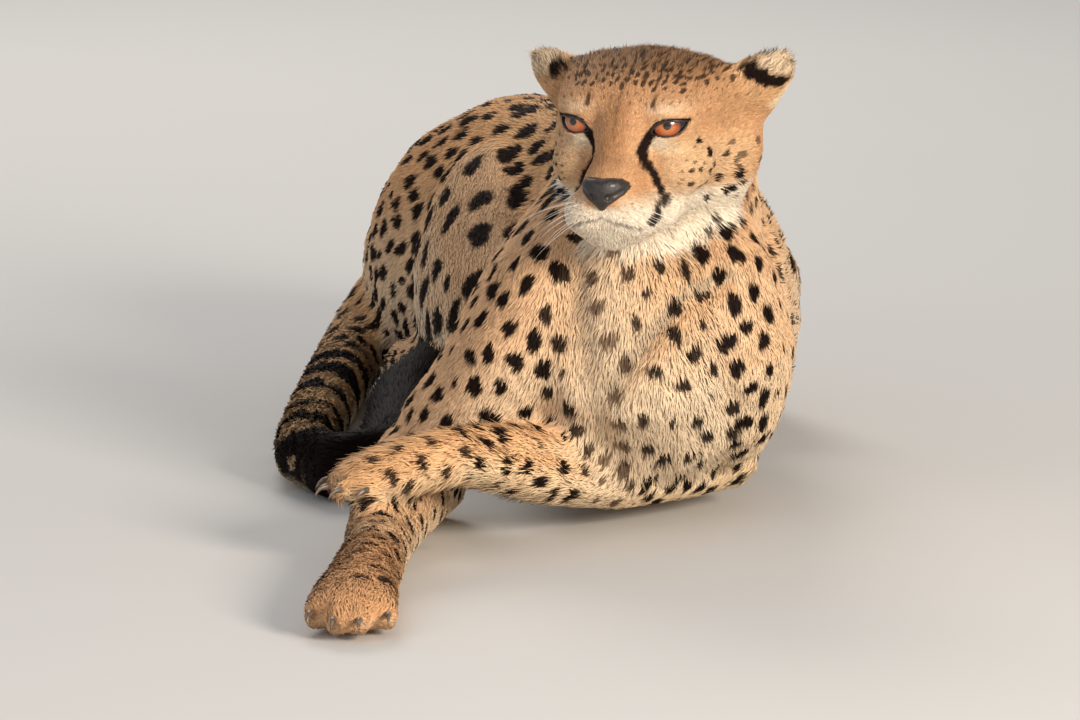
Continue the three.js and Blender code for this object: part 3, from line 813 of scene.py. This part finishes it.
# On each ear's back, the black bar's line (across it, up it) and where the pale tip begins.
EAR_PATCH = {-1: [(34, 17), (14, 22), (-5, 27)], 1: [(34, -2), (24, 10), (18, 13)]}
EAR_PALE = {-1: 28, 1: 17}
TAIL_RINGS, TAIL_BLACK = 13, 0.6               # turns of light and dark; where along it the black end begins


def head_colours(q):
    """The head's colours before its spots: tawny brow, pale round the eyes, white lips, chin and ruff."""
    x, y, z = abs(q[:, 0]), q[:, 1], q[:, 2]
    forward = step(y, -40, -15)

    def patch_at(across, up, wide, high):
        """1 in the middle of a soft oval beside the nose, fading out to 0."""
        return np.exp(-(((x - across) / wide) ** 2 + ((z - up) / high) ** 2)) * forward

    tint = mixed(np.tile(shade("cb9a70"), (len(q), 1)), shade("8c6847"), step(z, 18, 42) * step(y, 0, -40))
    tint = mixed(tint, shade("d6ae85"), step(z, 0, -25) * step(x, 24, 34) * step(y, -95, -60))
    tint = mixed(tint, shade("bc9068"), step(x, 48, 62) * step(z, -12, 4))
    tint = mixed(tint, shade("a87a54"), 0.6 * step(x, 12, 5) * step(z, 26, 14) * step(z, -30, -12))
    tint = mixed(tint, shade("e2c39c"), 0.9 * patch_at(33, -12, 13, 6.5))
    tint = mixed(tint, shade("efd6b6"), 0.55 * patch_at(33, 14, 13, 4.5))
    tint = mixed(tint, shade("efdcc0"), patch_at(27, -9, 7, 5.0))
    lips = step(z, -36, -50) * np.maximum(step(x, 7, 16), step(z, -44, -50)) * step(y, -60, -15)
    tint = mixed(tint, shade("ecd6ba"), lips)
    tint = mixed(tint, WHITE_FUR, step(z, -50, -63) * step(y, -110, -70))
    tint = mixed(tint, shade("f4ead9"), step(z, -40, -58) * step(y, -25, -35) * step(y, -100, -80))
    for side in (-1, 1):
        ear = in_ear(q, side)
        leaf = step(masses_at(q), -2.5, 2.5) * step(side * q[:, 0], 40, 50) * step(z, -25, -12)
        upward = -side * ear[:, 0]             # across the ear, towards the crown
        tint = mixed(tint, shade("d6a97c"), leaf)
        pale = step(ear[:, 2] + 0.3 * upward, EAR_PALE[side], EAR_PALE[side] + 6)
        pale = np.maximum(pale, step(-upward, 10, 15))
        tint = mixed(tint, shade("e6cbaa"), leaf * pale * step(ear[:, 2], 0, 10))
        flat = np.column_stack([upward, ear[:, 2]])
        patch = gaps(flat, EAR_PATCH[side], 5.6, 0.9) + 1.3 * ripple(q, 9)
        tint = mixed(tint, BLACK_FUR, leaf * (1 - step(patch, -1.5, 2)) * step(ear[:, 1], -4, 1))
    return tint


def head_lines(q):
    """How black the drawn lines of the face are: tear lines, brow marks, lids, lips and whisker rows, and a
    painted shade line down the middle of the brow.
    """
    flat = np.array([1, 0.3, 1])               # depth into the face counts for little
    m = right_half(q)
    uneven = 0.45 * ripple(q, 7)
    front = step(q[:, 1], -45, -30)

    def drawn(line, radius, soft, taper=1.0, rough=1.0):
        """1 on a line of the face, fading out over `soft` at its edges, which waver by `rough`."""
        gone = gaps(m * flat, np.array(line) * flat, radius, taper) + rough * uneven
        return (1 - step(gone, -soft, soft)) * front

    dark = drawn(TEAR, 3.5, 0.8, 0.8, 0.8)
    dark = np.maximum(dark, 0.97 * drawn(TEAR_END, 4.1, 1.2, rough=1.7))
    # the painted shade line in the brow's crease
    dark = np.maximum(dark, 0.45 * drawn(BROW_CREASE_SHADE, 1.8, 2.0, 0.6, 1.6))
    for mark in BROW_MARKS:
        dark = np.maximum(dark, 0.85 * drawn(mark, 1.5, 0.9, 0.7))
    dark = np.maximum(dark, 0.8 * drawn(MOUTH, 1.2, 0.9, rough=0.5))
    dark = np.maximum(dark, 0.9 * drawn([(42, -11, 6), (48, -20, 9)], 1.4, 0.7, 0.5, 0.3))
    for side in (-1, 1):
        broad = np.where(eye_plane(q, side)[1] > 0, 2.8, 1.7)
        dark = np.maximum(dark, (1 - step(opening(q, side), broad - 1.2, broad)) * step(q[:, 1], -30, -20))
    for row, count in enumerate((4, 5, 5, 4)):
        t = (np.arange(count) + 0.5 * (row % 2)) / 5
        for a, b, c in zip(12 + 19 * t, 45 - 16 * t, np.full(count, -45.5 - 4.0 * row) + 3 * t):
            gone = np.linalg.norm((m - [a, b, c]) * flat, axis=1)
            dark = np.maximum(dark, 0.5 * (1 - step(gone, 0.5, 1.3)))
    return dark


def painted(p, normals, share):
    """The colour at points of the skin, from what they belong to, which way they face and the markings, with
    painted shade in the coat's folds and on the tail's black.
    """
    up = step(normals[:, 2], -0.45, 0.55)[:, None]
    tint = (share @ colour_above) * up + (share @ colour_below) * (1 - up)
    tint = tint * (1 + 0.05 * ripple(p, 70, 1.0) + 0.04 * ripple(p, 23, 2.0))[:, None]
    work = p - ORIGIN
    chest = np.exp(-(((work[:, 0] - 6) / 25) ** 2)) * step(work[:, 1], 50, 10) * step(work[:, 2], 250, 200)
    tint = mixed(tint, shade("eed4b2"), 0.7 * chest)
    q = in_head(p)
    head = step(part_of(share, HEAD), 0.35, 0.65)
    tint = mixed(tint, head_colours(q), head)
    tint = mixed(tint, shade("f1e0c8"), below_jaw(q))
    tail, t = part_of(share, "tail") > 0.5, np.zeros(len(p))
    t[tail] = along(TAIL, p[tail])[1]
    dark = spotted(p)
    turns = np.sin(t * 2 * math.pi * TAIL_RINGS + 1.2 * ripple(p, 60, 4.0) + 0.5 * ripple(p, 22, 4.0))
    rings = step(turns, -0.1, 0.2) * step(t, 0.17, 0.22) * (1 - 0.6 * step(-normals[:, 2], 0.3, 0.9))
    black_end = step(t + 0.012 * ripple(p, 20), TAIL_BLACK, TAIL_BLACK + 0.06)
    dark = np.maximum(dark, tail * np.maximum(rings, black_end))
    lines = np.zeros(len(p))
    lines[head > 0.02] = head_lines(q[head > 0.02])
    dark = np.maximum(dark, lines * head)
    painted_fold_shade = np.ones(len(p))                   # painted shade: the colour is darkened along the arm fold and the chest crease, where shade falls in the fold
    front = np.flatnonzero((work[:, 1] < 20) & (work[:, 2] < 215) & (work[:, 2] > 55)
                           & (abs(work[:, 0] - 30) < 70))
    for fold, wide, strength in ((ARM_FOLD, 6, 0.5), (CHEST_CREASE, 6, 0.2)):
        gone = gaps(work[front], fold, 0.0) + 1.5 * ripple(work[front], 19)
        painted_fold_shade[front] -= strength * np.exp(-(gone / wide) ** 2)
    tint = tint * painted_fold_shade[:, None]
    ink = mixed(np.tile(BLACK_FUR, (len(p), 1)), BROWN_FUR, 0.6 * chest ** 3)
    # painted shade: the tail's black is darker than the other spots, as if the tail lay in shade
    ink = ink * (1 - 0.5 * tail)[:, None]
    return tint + (ink - tint) * (dark * (1 - 0.2 * chest ** 3))[:, None]


skin_tint = painted(skin_points, skin_normals, belongs)


def store(made, name, values):
    """A colour for each corner of a mesh, kept as an attribute, which its material reads."""
    holder = made.data.attributes.new(name, "FLOAT_COLOR", "POINT")
    values = np.concatenate([values, np.ones((len(values), 1))], 1)
    holder.data.foreach_set("color", values.astype(np.float32).ravel())


hide, where, put = finish("short_fur", 0.72, sheen=0.04, gloss=0.04)
coat_tint = where.node("ShaderNodeAttribute", {"attribute_name": "coat_tint"})
grain = noise(where, 0.0016, 4.0, 0.6)
put("Base Color", shaded(coat_tint, 0.8, (0.66, 0.64, 0.62), grain.steps(0.25, 0.7)))
put("Normal", bumped(where, grain, 0.0011, 0.7))
skin = mesh_of("skin", skin_points, skin_quads, hide)
store(skin, "coat_tint", skin_tint)
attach(skin, "root")
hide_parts(*[n for n in NODES if not n.startswith(("eye", "nose"))])


# ---------------------------------------------------------------------------------------------
# The coat. Each lock is a thin closed leaf of hair: rooted in the skin, broadest two fifths of the
# way along and drawn to a point, lying the way the hair streams. Short and close on the face,
# long and soft on chest, throat, cheeks and the tail's end.
LOCKS = {  # length, width and how far the tip lifts, in mm; mean gap between roots, in mm
    "head": (5.0, 0.72, 1.35, 0.93), "ear": (4.8, 0.72, 1.6, 1.0), "neck": (9.0, 1.0, 3.0, 1.6),
    "breast": (11.5, 1.05, 4.0, 1.7), "belly": (8.5, 1.25, 2.4, 2.7), "shoulder": (8.0, 1.0, 2.0, 1.65),
    "forearm_right": (6.5, 0.95, 1.8, 1.65), "forearm": (8.5, 1.0, 2.8, 1.65),
    "forepaw_right": (9.5, 0.95, 3.2, 1.4), "forepaw": (7.5, 1.0, 2.6, 1.45), "rump": (7.5, 1.2, 1.8, 2.35),
    "thigh": (7.5, 1.15, 1.8, 2.3), "shank": (7.5, 1.15, 2.2, 2.3), "hind": (6.5, 1.1, 2.2, 2.1),
    "tail_root": (8.5, 1.25, 2.6, 2.1), "tail_middle": (8.5, 1.25, 2.8, 2.1),
    "tail_bend": (10, 1.25, 3.8, 2.0), "tail_tip": (17, 1.4, 7.5, 2.0), "": (4.2, 0.7, 0.8, 1.0),
}
PIECES = {  # pieces of the coat, by the solids that their roots belong to
    "coat_face": ("head", "eye", "nose", "ear"), "coat_neck": ("neck",), "coat_breast": ("breast",),
    "coat_shoulders": ("shoulder",), "coat_forelegs": ("forearm", "forepaw"),
    "coat_flanks": ("belly", "rump"), "coat_hindlegs": ("thigh", "shank", "hind"), "coat_tail": ("tail",),
}
LOCK_COUNT = 246000
MOST_IN_PIECE = 33200                          # locks, of six triangles each
sizes = evened((belongs @ by_node(LOCKS)).astype(np.float32), 3)


def rooted(total):
    """Roots spread evenly over the skin by its area and how close the hair grows: face, and place in it."""
    crowd = face_area / (sizes[skin_quads, 3].mean(1) ** 2)
    crowd = crowd * (1 - 0.72 * step(-skin_normals[skin_quads, 2].mean(1), 0.75, 0.95))
    ladder_of = np.cumsum(crowd)
    turn = (np.arange(total) + chance.random(total)) / total * ladder_of[-1]
    face = np.searchsorted(ladder_of, turn)
    u, v = chance.random(total), chance.random(total)
    weight = np.stack([(1 - u) * (1 - v), u * (1 - v), u * v, (1 - u) * v], 1)
    return np.minimum(face, len(skin_quads) - 1), weight.astype(np.float32)


def spread(values, face, weight):
    """Values at the skin's corners, carried to places inside its faces."""
    return np.einsum("ik,ik...->i...", weight, values[skin_quads[face]])


face, weight = rooted(LOCK_COUNT)
root = spread(skin_points, face, weight)
outward = unit(spread(skin_normals, face, weight))
share = spread(belongs, face, weight)
length, width, lift, _ = spread(sizes, face, weight).T
way = unit(spread(lie, face, weight))
side_way = np.cross(outward, way)

q = in_head(root)
on_head_share = part_of(share, HEAD)
ruff = on_head_share * step(q[:, 1], -2, -50) * step(q[:, 2], -18, -60)
crown_share = on_head_share * step(q[:, 2], 22, 40) * step(q[:, 1], -10, -50)
bridge = on_head_share * step(q[:, 1], -35, 5) * step(q[:, 2], -64, -50)
hem = (1 - on_head_share) * below_jaw(q)
length = length * (1 + 1.7 * ruff + 1.5 * crown_share - 0.4 * bridge + 0.2 * hem)
lift = lift * (1 + 1.1 * ruff + 3.4 * crown_share - 0.5 * bridge + 0.2 * hem)
width = width * (1 + 0.15 * ruff)
work = root - ORIGIN
fringe = part_of(share, "breast") * step(work[:, 2], 75, 35) * step(work[:, 1], 60, 20)
wisps = part_of(share, ("forearm_left", "forepaw_left")) * step(work[:, 0], 20, -60)
length = length * (1 + 0.6 * fringe + 1.1 * wisps)
lift = lift * (1 + 0.5 * fringe + 1.3 * wisps)
length *= chance.uniform(0.72, 1.22, LOCK_COUNT)
width *= chance.uniform(0.75, 1.25, LOCK_COUNT)
swing = 0.16 * ripple(root, 26, 5.0) + 0.10 * ripple(root, 9, 6.0) + chance.normal(0, 0.13, LOCK_COUNT)
swing *= 1 + 0.6 * step(length, 9, 20) + 0.6 * on_head_share
lean = way * np.cos(swing)[:, None] + side_way * np.sin(swing)[:, None]
lift_now = lift * np.clip(0.62 + 0.30 * ripple(root, 14, 7.0) + chance.normal(0, 0.24, LOCK_COUNT), 0.12, 1.5)
lift_now *= 0.25 + 0.75 * step(root[:, 2], 4, 34)
middle = root + lean * (0.42 * length)[:, None]
tip = root + lean * (length * 0.97)[:, None]
middle_high = 0.3 + 0.46 * lift_now
middle += outward * (middle_high - skin_at(middle))[:, None]
tip += outward * np.clip(lift_now - skin_at(tip), -0.4 * length, 0.5 * length)[:, None]
middle[:, 2], tip[:, 2] = np.maximum(middle[:, 2], 1.0), np.maximum(tip[:, 2], 0.5)
lock_tint = painted(root + lean * (0.45 * length)[:, None], outward, share)
unlike = 0.08 + 0.07 * on_head_share           # locks differ in shade, most on the head
shades = 1 + unlike * chance.standard_normal(LOCK_COUNT) + 0.05 * ripple(root, 11, 8.0)
lock_tint *= np.clip(shades, 0.55, 1.35)[:, None]


def locks(pick):
    """Closed leaves of six faces: a root, a flat ring of three corners and a tip; and their normals."""
    r, m, t, n = root[pick] - outward[pick] * 0.5, middle[pick], tip[pick], outward[pick]
    flat = unit(np.cross(n, t - r)) * (width[pick] * 0.5)[:, None]
    thick = unit(np.cross(t - r, flat)) * (width[pick] * 0.26)[:, None]
    points = np.stack([r, m - flat - thick * 0.6, m + flat - thick * 0.6, m + thick, t], 1)
    bent = unit(np.stack([n, n - 0.45 * unit(flat), n + 0.45 * unit(flat), n, n], 1))
    faces = np.array([[0, 2, 1], [0, 3, 2], [0, 1, 3], [4, 1, 2], [4, 2, 3], [4, 3, 1]])
    faces = (np.arange(len(r))[:, None, None] * 5 + faces).reshape(-1, 3)
    return points.reshape(-1, 3), faces, bent.reshape(-1, 3)


TILES = {  # each solid's share of its own piece's map
    "neck": ((0, 0), (1, 1)), "breast": ((0, 0), (1, 1)),
    "shoulder_left": ((0, 0), (0.5, 1)), "shoulder_right": ((0.5, 0), (1, 1)),
    "forearm_left": ((0, 0), (0.5, 0.5)), "forearm_right": ((0.5, 0), (1, 0.5)),
    "forepaw_left": ((0, 0.5), (0.5, 1)), "forepaw_right": ((0.5, 0.5), (1, 1)),
    "belly": ((0, 0), (0.5, 1)), "rump": ((0.5, 0), (1, 1)),
    "thigh_left": ((0, 0), (0.5, 0.4)), "thigh_right": ((0.5, 0), (1, 0.4)),
    "shank_left": ((0, 0.4), (0.5, 0.7)), "shank_right": ((0.5, 0.4), (1, 0.7)),
    "hind_foot_left": ((0, 0.7), (0.5, 1)), "hind_foot_right": ((0.5, 0.7), (1, 1)),
    "tail_root": ((0, 0), (1, 1)), "tail_middle": ((0, 0), (1, 1)), "tail_bend": ((0, 0), (1, 1)),
    "tail_tip": ((0, 0), (1, 1)),
}


def unwrapped(p, share_of_all):
    """The skin laid out flat without overlap: round each limb's path and along it, each in its own tile."""
    result = np.zeros((len(p), 2))
    owner_of = np.argmax(share_of_all, 1)
    q = in_head(p) - [0, -48, -14]
    for index, name in enumerate(NODES):
        here = owner_of == index
        if not here.any():
            continue
        if name.startswith(HEAD):
            d = unit(q[here])
            bend = np.arccos(np.clip(d[:, 1], -1, 1)) / math.pi
            flat = d[:, [0, 2]] / np.maximum(np.linalg.norm(d[:, [0, 2]], axis=1), 1e-6)[:, None]
            ear = name.startswith("ear")
            spot = 0.5 + 0.46 * flat * bend[:, None]
            if ear:                            # in a small tile in a corner of the head's
                spot = 0.02 + 0.1 * spot + ([0.86, 0.0] if name.endswith("left") else 0)
            result[here] = spot
            continue
        path = first_of(STREAMS, name)
        way_there, t = along(path, p[here])
        points = np.array([place(*c) for c in path])
        reach = np.linspace(0, 1, len(points))
        middle_line = np.stack([np.interp(t, reach, points[:, a]) for a in range(3)], 1)
        gone = p[here] - middle_line
        right = unit(np.cross(way_there, [0.31, 0.2, 0.93]))
        turn = np.arctan2((gone * np.cross(right, way_there)).sum(1), (gone * right).sum(1))
        turn = turn / (2 * math.pi) + 0.5
        low_corner, high_corner = (np.array(corner) for corner in TILES[name])
        result[here] = low_corner + (np.stack([turn, t], 1) * 0.96 + 0.02) * (high_corner - low_corner)
    return result


PATCH = 0.003                                  # how broad one lock is on its map
fur, where, put = finish("coat_hair", 0.6, gloss=0.04)
lock_colour = where.node("ShaderNodeAttribute", {"attribute_name": "coat_tint"})
strand = noise(where, 0.0009, 2.0)
put("Base Color", shaded(lock_colour, 0.5, (0.78, 0.76, 0.74), strand.steps(0.3, 0.7)))
map_place = unwrapped(root, share)
map_patch = PATCH * np.array([[0.5, 0], [0, 0.45], [1, 0.45], [0.5, 0.6], [0.5, 1]]) - PATCH / 2
piece_of = np.argmax(share, 1)
for piece, prefixes in PIECES.items():
    members = np.flatnonzero(np.isin(piece_of, [i for i, n in enumerate(NODES) if n.startswith(prefixes)]))
    parts = max(1, math.ceil(len(members) / MOST_IN_PIECE))
    for part, pick in enumerate(np.array_split(members, parts)):
        points, faces, bent = locks(pick)
        name = piece if parts == 1 else f"{piece}_{part + 1}"
        made = mesh_of(name, points, faces, fur)
        # painted shade and light along each lock: darkest at the root, where the locks shade each other, and
        # a little lighter at the tip
        root_shade_tip_light = np.array([0.88, 0.98, 0.98, 1.0, 1.09])[None, :, None]
        store(made, "coat_tint", np.clip(lock_tint[pick][:, None, :] * root_shade_tip_light, 0, 1).reshape(-1, 3))
        patches = np.clip(map_place[pick], 0.002, 0.998)[:, None, :] + map_patch
        made.data.uv_layers.new(name="OFBake").data.foreach_set(
            "uv", patches.reshape(-1, 2)[faces.ravel()].astype(np.float32).ravel())
        made.data.normals_split_custom_set_from_vertices(bent)
        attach(made, "root")


# ---------------------------------------------------------------------------------------------
# The eyes. A wet ball with a round pupil, an amber iris of fine fibres that darkens to its edge,
# and almost no white. It sits behind the lids, whose bare black edges touch it all the way round.
GAZE_OUT, GAZE_UP = math.radians(19), math.radians(6)
EYE_RINGS = np.radians([0, 3, 6, 8.2, 9.2, 10.4, 12, 14, 16, 18, 20, 22, 24, 26, 27.5, 29, 30.4, 31.6, 33, 36,
                        42, 50, 62, 76, 92, 110, 130, 152, 180])
PUPIL, IRIS, CORNEA = math.radians(8.8), math.radians(30), math.radians(36)
EYE_SPOKES = 96


def halved(a, b, c, d):
    """Faces of four corners, each cut into two triangles."""
    return [np.stack([a, b, c], 1), np.stack([a, c, d], 1)]


def ring_grid(rings, spokes):
    """Triangles over rings of corners between a first and a last pole."""
    def at(ring, k):
        return 1 + ring * spokes + k % spokes

    k = np.arange(spokes)
    faces = [np.stack([np.zeros(spokes, int), at(0, k), at(0, k + 1)], 1)]
    for ring in range(rings - 1):
        faces += halved(at(ring, k), at(ring + 1, k), at(ring + 1, k + 1), at(ring, k + 1))
    faces.append(np.stack([at(rings - 1, k), np.full(spokes, 1 + rings * spokes), at(rings - 1, k + 1)], 1))
    return np.concatenate(faces)


def facing_out(points, faces):
    """The same faces, turned over if they enclose a negative volume."""
    a, b, c = (points[faces[:, k]] for k in range(3))
    return faces if (np.cross(a, b) * c).sum() > 0 else faces[:, ::-1]


wet, where, put = finish("wet_eye", 0.22, coat=1.0)
iris = where.node("ShaderNodeAttribute", {"attribute_name": "eye_tint"})
put("Base Color", shaded(iris, 0.5, (0.7, 0.66, 0.62), noise(where, 0.0012).steps(0.3, 0.7)))
for side, name in ((-1, "eye_left"), (1, "eye_right")):
    bend, spin = np.meshgrid(EYE_RINGS[1:-1], np.arange(EYE_SPOKES) * 2 * math.pi / EYE_SPOKES, indexing="ij")
    bend, spin = np.concatenate([[0], bend.ravel(), [math.pi]]), np.concatenate([[0], spin.ravel(), [0]])
    far = EYE_RADIUS + 1.1 * np.clip(1 - (bend / CORNEA) ** 2, 0, 1)
    ball = np.stack([np.sin(bend) * np.cos(spin), np.cos(bend), np.sin(bend) * np.sin(spin)], 1)
    ball = ball * far[:, None] @ turned(x=GAZE_UP, z=-side * GAZE_OUT, order="ZX").T
    ball = on_head(ball + [side * EYE_SIDE, -EYE_RADIUS, EYE_RAISE])
    fibres = np.sin(spin * 31 + 2 * np.sin(spin * 7)) * 0.5 + np.sin(spin * 53 + 5 * bend) * 0.3
    t = (bend - PUPIL) / (IRIS - PUPIL)
    tint = mixed(np.tile(shade("c06c2c"), (len(bend), 1)), shade("9c4818"), step(t, 0.15, 0.75))
    tint = mixed(tint, shade("6a2c12"), step(t, 0.78, 1.0)) * (1 + 0.16 * fibres * step(t, 0, 0.25))[:, None]
    pupil = 1 - step(bend, PUPIL - 0.01, PUPIL + 0.012)
    tint = mixed(tint, shade("1d0f0a"), np.maximum(pupil, step(t, 1.0, 1.1)))
    tint = mixed(tint, shade("4a3226"), step(t, 1.3, 2.2))
    # painted shade: the upper part of the iris is darkened, as if shadowed by the upper lid
    tint = tint * (1 - 0.5 * step(in_head(ball)[:, 2] - EYE_RAISE, 0, 5))[:, None]
    faces = facing_out(ball - ball.mean(0), ring_grid(len(EYE_RINGS) - 2, EYE_SPOKES))
    made = mesh_of(name, ball, faces, wet)
    store(made, "eye_tint", np.clip(tint, 0, 1))
    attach(made, "root")
    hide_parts(name)


def swept(path, radii, sides, closed=False, up=(0, 0, 1)):
    """A round tube along a path with a radius at each point; its ends drawn to points unless it is closed."""
    path, radii = np.asarray(path, float), np.broadcast_to(radii, len(path))
    if closed:
        ahead = unit(np.roll(path, -1, 0) - np.roll(path, 1, 0))
    else:
        ahead = unit(np.gradient(path, axis=0))
    right = unit(np.cross(ahead, up))
    over = np.cross(right, ahead)
    turn = np.arange(sides) * 2 * math.pi / sides
    rings = (path[:, None] + radii[:, None, None] * (right[:, None] * np.cos(turn)[None, :, None]
                                                     + over[:, None] * np.sin(turn)[None, :, None]))
    if not closed:
        points = np.concatenate([path[:1], rings[1:-1].reshape(-1, 3), path[-1:]])
        return points, facing_out(points - points.mean(0), ring_grid(len(path) - 2, sides))
    n, k = len(path), np.arange(sides)
    faces = []
    for i in range(n):
        here, there, beside = i * sides, (i + 1) % n * sides, (k + 1) % sides
        faces += halved(here + k, there + k, there + beside, here + beside)
    points, faces = rings.reshape(-1, 3), np.concatenate(faces)
    return points, facing_out(points - points.mean(0), faces)


def joined(pieces):
    """Many closed meshes as one set of points and faces."""
    starts_at = np.cumsum([0] + [len(points) for points, _ in pieces[:-1]])
    return (np.concatenate([points for points, _ in pieces]),
            np.concatenate([faces + start for (_, faces), start in zip(pieces, starts_at)]))


leather, where, put = finish("nose_leather", 0.45, coat=0.12)
pores = where.node("ShaderNodeTexVoronoi", {}, Vector=where, Scale=1 / 0.0011)
mottled = noise(where, 0.004).steps(0.3, 0.7)
put("Base Color", mottled.blend((0.015, 0.011, 0.01, 1), (0.034, 0.025, 0.022, 1)))
put("Normal", bumped(where, pores, 0.0003, 0.8))
rims = []
for side in (-1, 1):
    t = np.linspace(0, 2 * math.pi, 97)[:-1]
    u = EYE_HALF * np.cos(t)
    above, below = lid_lines(u)
    v = np.where(np.sin(t) > 0, above, -below)
    tilt = math.radians(LID_TILT)
    over, up = u * math.cos(tilt) - v * math.sin(tilt), u * math.sin(tilt) + v * math.cos(tilt)
    ahead = np.sqrt((EYE_RADIUS + 0.9) ** 2 - over ** 2 - up ** 2)
    x = side * (EYE_SIDE + over * math.cos(EYE_TURN) + ahead * math.sin(EYE_TURN))
    y = ahead * math.cos(EYE_TURN) - over * math.sin(EYE_TURN) - EYE_RADIUS
    path = on_head(np.stack([x, y, up + EYE_RAISE], 1))
    facing = path.mean(0) - on_head((side * EYE_SIDE, -EYE_RADIUS, EYE_RAISE))
    thick = 0.5 + 0.6 * step(np.sin(t), 0.0, 0.7) + 0.4 * step(-np.cos(t), 0.9, 1.0)
    rims.append(swept(path, thick, 8, closed=True, up=unit(facing)))
lids = mesh_of("lid_edges", *joined(rims), leather)
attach(lids, "root")


# ---------------------------------------------------------------------------------------------
# The nose. A pad of bare black leather, broad on top and drawn in to the groove of the lip, with a
# comma-shaped nostril curling out on each side.
NOSE_OUTLINE = np.array([(0, -27.2), (6, -26.8), (12, -27.6), (16, -30.6), (17.2, -34.2), (14.6, -38.2),
                         (9.5, -42.0), (4.6, -45.6), (2.0, -49.2), (0, -50.2)])
NOSTRIL = [(6.0, 47, -39.2), (9.0, 46.5, -38.6), (12.5, 43.5, -36.8), (16.0, 39, -34.6), (18.5, 34, -34.0)]
NOSE_CELL = 0.6


def outside_of(p, outline):
    """Signed distance in a plane to a closed outline of straight sides, negative inside."""
    nearest, inside = np.full(len(p), 1e9), np.zeros(len(p), bool)
    for a, b in zip(outline, np.roll(outline, -1, 0)):
        side_line, gone = b - a, p - a
        t = np.clip(gone @ side_line / (side_line @ side_line), 0, 1)
        nearest = np.minimum(nearest, np.linalg.norm(gone - t[:, None] * side_line, axis=1))
        crosses = (a[1] > p[:, 1]) != (b[1] > p[:, 1])
        reach = a[0] + (p[:, 1] - a[1]) * side_line[0] / (side_line[1] if side_line[1] else 1e-9)
        inside ^= crosses & (p[:, 0] < reach)
    return np.where(inside, -nearest, nearest)


block = np.stack(np.meshgrid(np.arange(-40, 41), np.arange(30, 92), np.arange(-94, -36), indexing="ij"), -1)
q = block.reshape(-1, 3) * NOSE_CELL
mirrored = np.concatenate([NOSE_OUTLINE, NOSE_OUTLINE[-2:0:-1] * [-1, 1]])
front_of = q[:, 1] - (49.0 - 0.040 * q[:, 0] ** 2 - 0.028 * (q[:, 2] + 36) ** 2)
pad = -melted(-front_of, -outside_of(q[:, [0, 2]], mirrored), 4.0)
pad = -melted(-pad, gaps(right_half(q), NOSTRIL, 2.3, 0.6), 1.4)
pad = -melted(-pad, gaps(q, [(0, 50, -36), (0, 49, -50)], 0.8), 1.2)
points, quads = surface_of(pad.reshape(block.shape[:3]), 0.0, 9.0)
points = (points + block[0, 0, 0]) * NOSE_CELL
nose = mesh_of("nose", on_head(points), quads, leather)
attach(nose, "root")
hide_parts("nose")


# ---------------------------------------------------------------------------------------------
# Whiskers and claws. Whiskers are stiff white hairs in four rows on each lip; claws are curved
# cones of horn that show at the toes' tips, since a cheetah's hardly draw back.
bristle, where, put = finish("whisker", 0.4)
put("Base Color", noise(where, 0.02).blend((0.78, 0.72, 0.62, 1), (0.92, 0.88, 0.8, 1)))
pieces = []
for side in (-1, 1):
    for row, count in enumerate((2, 3, 3, 2)):
        for k in range(count):
            t = (k + 0.5 * (row % 2)) / 4
            start = np.array([side * (14 + 18 * t), 44 - 16 * t, -45.0 - 4.2 * row + 3 * t])
            drop = -0.18 - 0.16 * row + chance.normal(0, 0.08)
            out = unit(np.array([side * (1.0 + 0.5 * t), 0.35 - 0.9 * t, drop]))
            long = chance.uniform(26, 44) + 8 * t
            s = np.linspace(0, 1, 9)[:, None]
            path = start + out * (long * s) + np.array([0, -0.34, -0.26]) * long * s ** 2 + out * [0, -2.5, 0]
            pieces.append(swept(on_head(path), 0.17 * (1 - 0.75 * s.ravel()), 5))
whiskers = mesh_of("whiskers", *joined(pieces), bristle)
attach(whiskers, "root")

PAWS = {  # width over the toes; rise of the claws' roots from the middle line of the foot
    "forepaw_left": (60, -5), "forepaw_right": (66, -6),
    "hind_foot_right": (58, -6), "hind_foot_left": (58, -6),
}
horn, where, put = finish("claw_horn", 0.38, coat=0.2)
put("Base Color", noise(where, 0.003).steps(0.3, 0.7).blend((0.06, 0.042, 0.03, 1), (0.2, 0.14, 0.095, 1)))
pieces = []
for paw, (wide, rise) in PAWS.items():
    start, end = (place(*point) for point in STREAMS[paw])
    ahead = unit(end - start)
    beside = unit(np.cross(ahead, [0, 0, 1]))
    for k in (-1.5, -0.5, 0.5, 1.5):
        toe = start + (end - start) * (0.8 if abs(k) > 1 else 0.9) + beside * k * 0.25 * wide + [0, 0, rise]
        way = unit(ahead + beside * k * 0.07)
        s = np.linspace(0, 1, 9)[:, None]
        path = toe + way * (5 + 15 * s - 2.5 * s ** 3)
        path = path + np.array([0, 0, 1]) * (2.0 + 5.0 * s - 10.0 * s ** 2.4)
        pieces.append(swept(path, 2.3 * (1 - s.ravel() ** 1.6) + 0.12, 10))
claws = mesh_of("claws", *joined(pieces), horn)
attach(claws, "root")
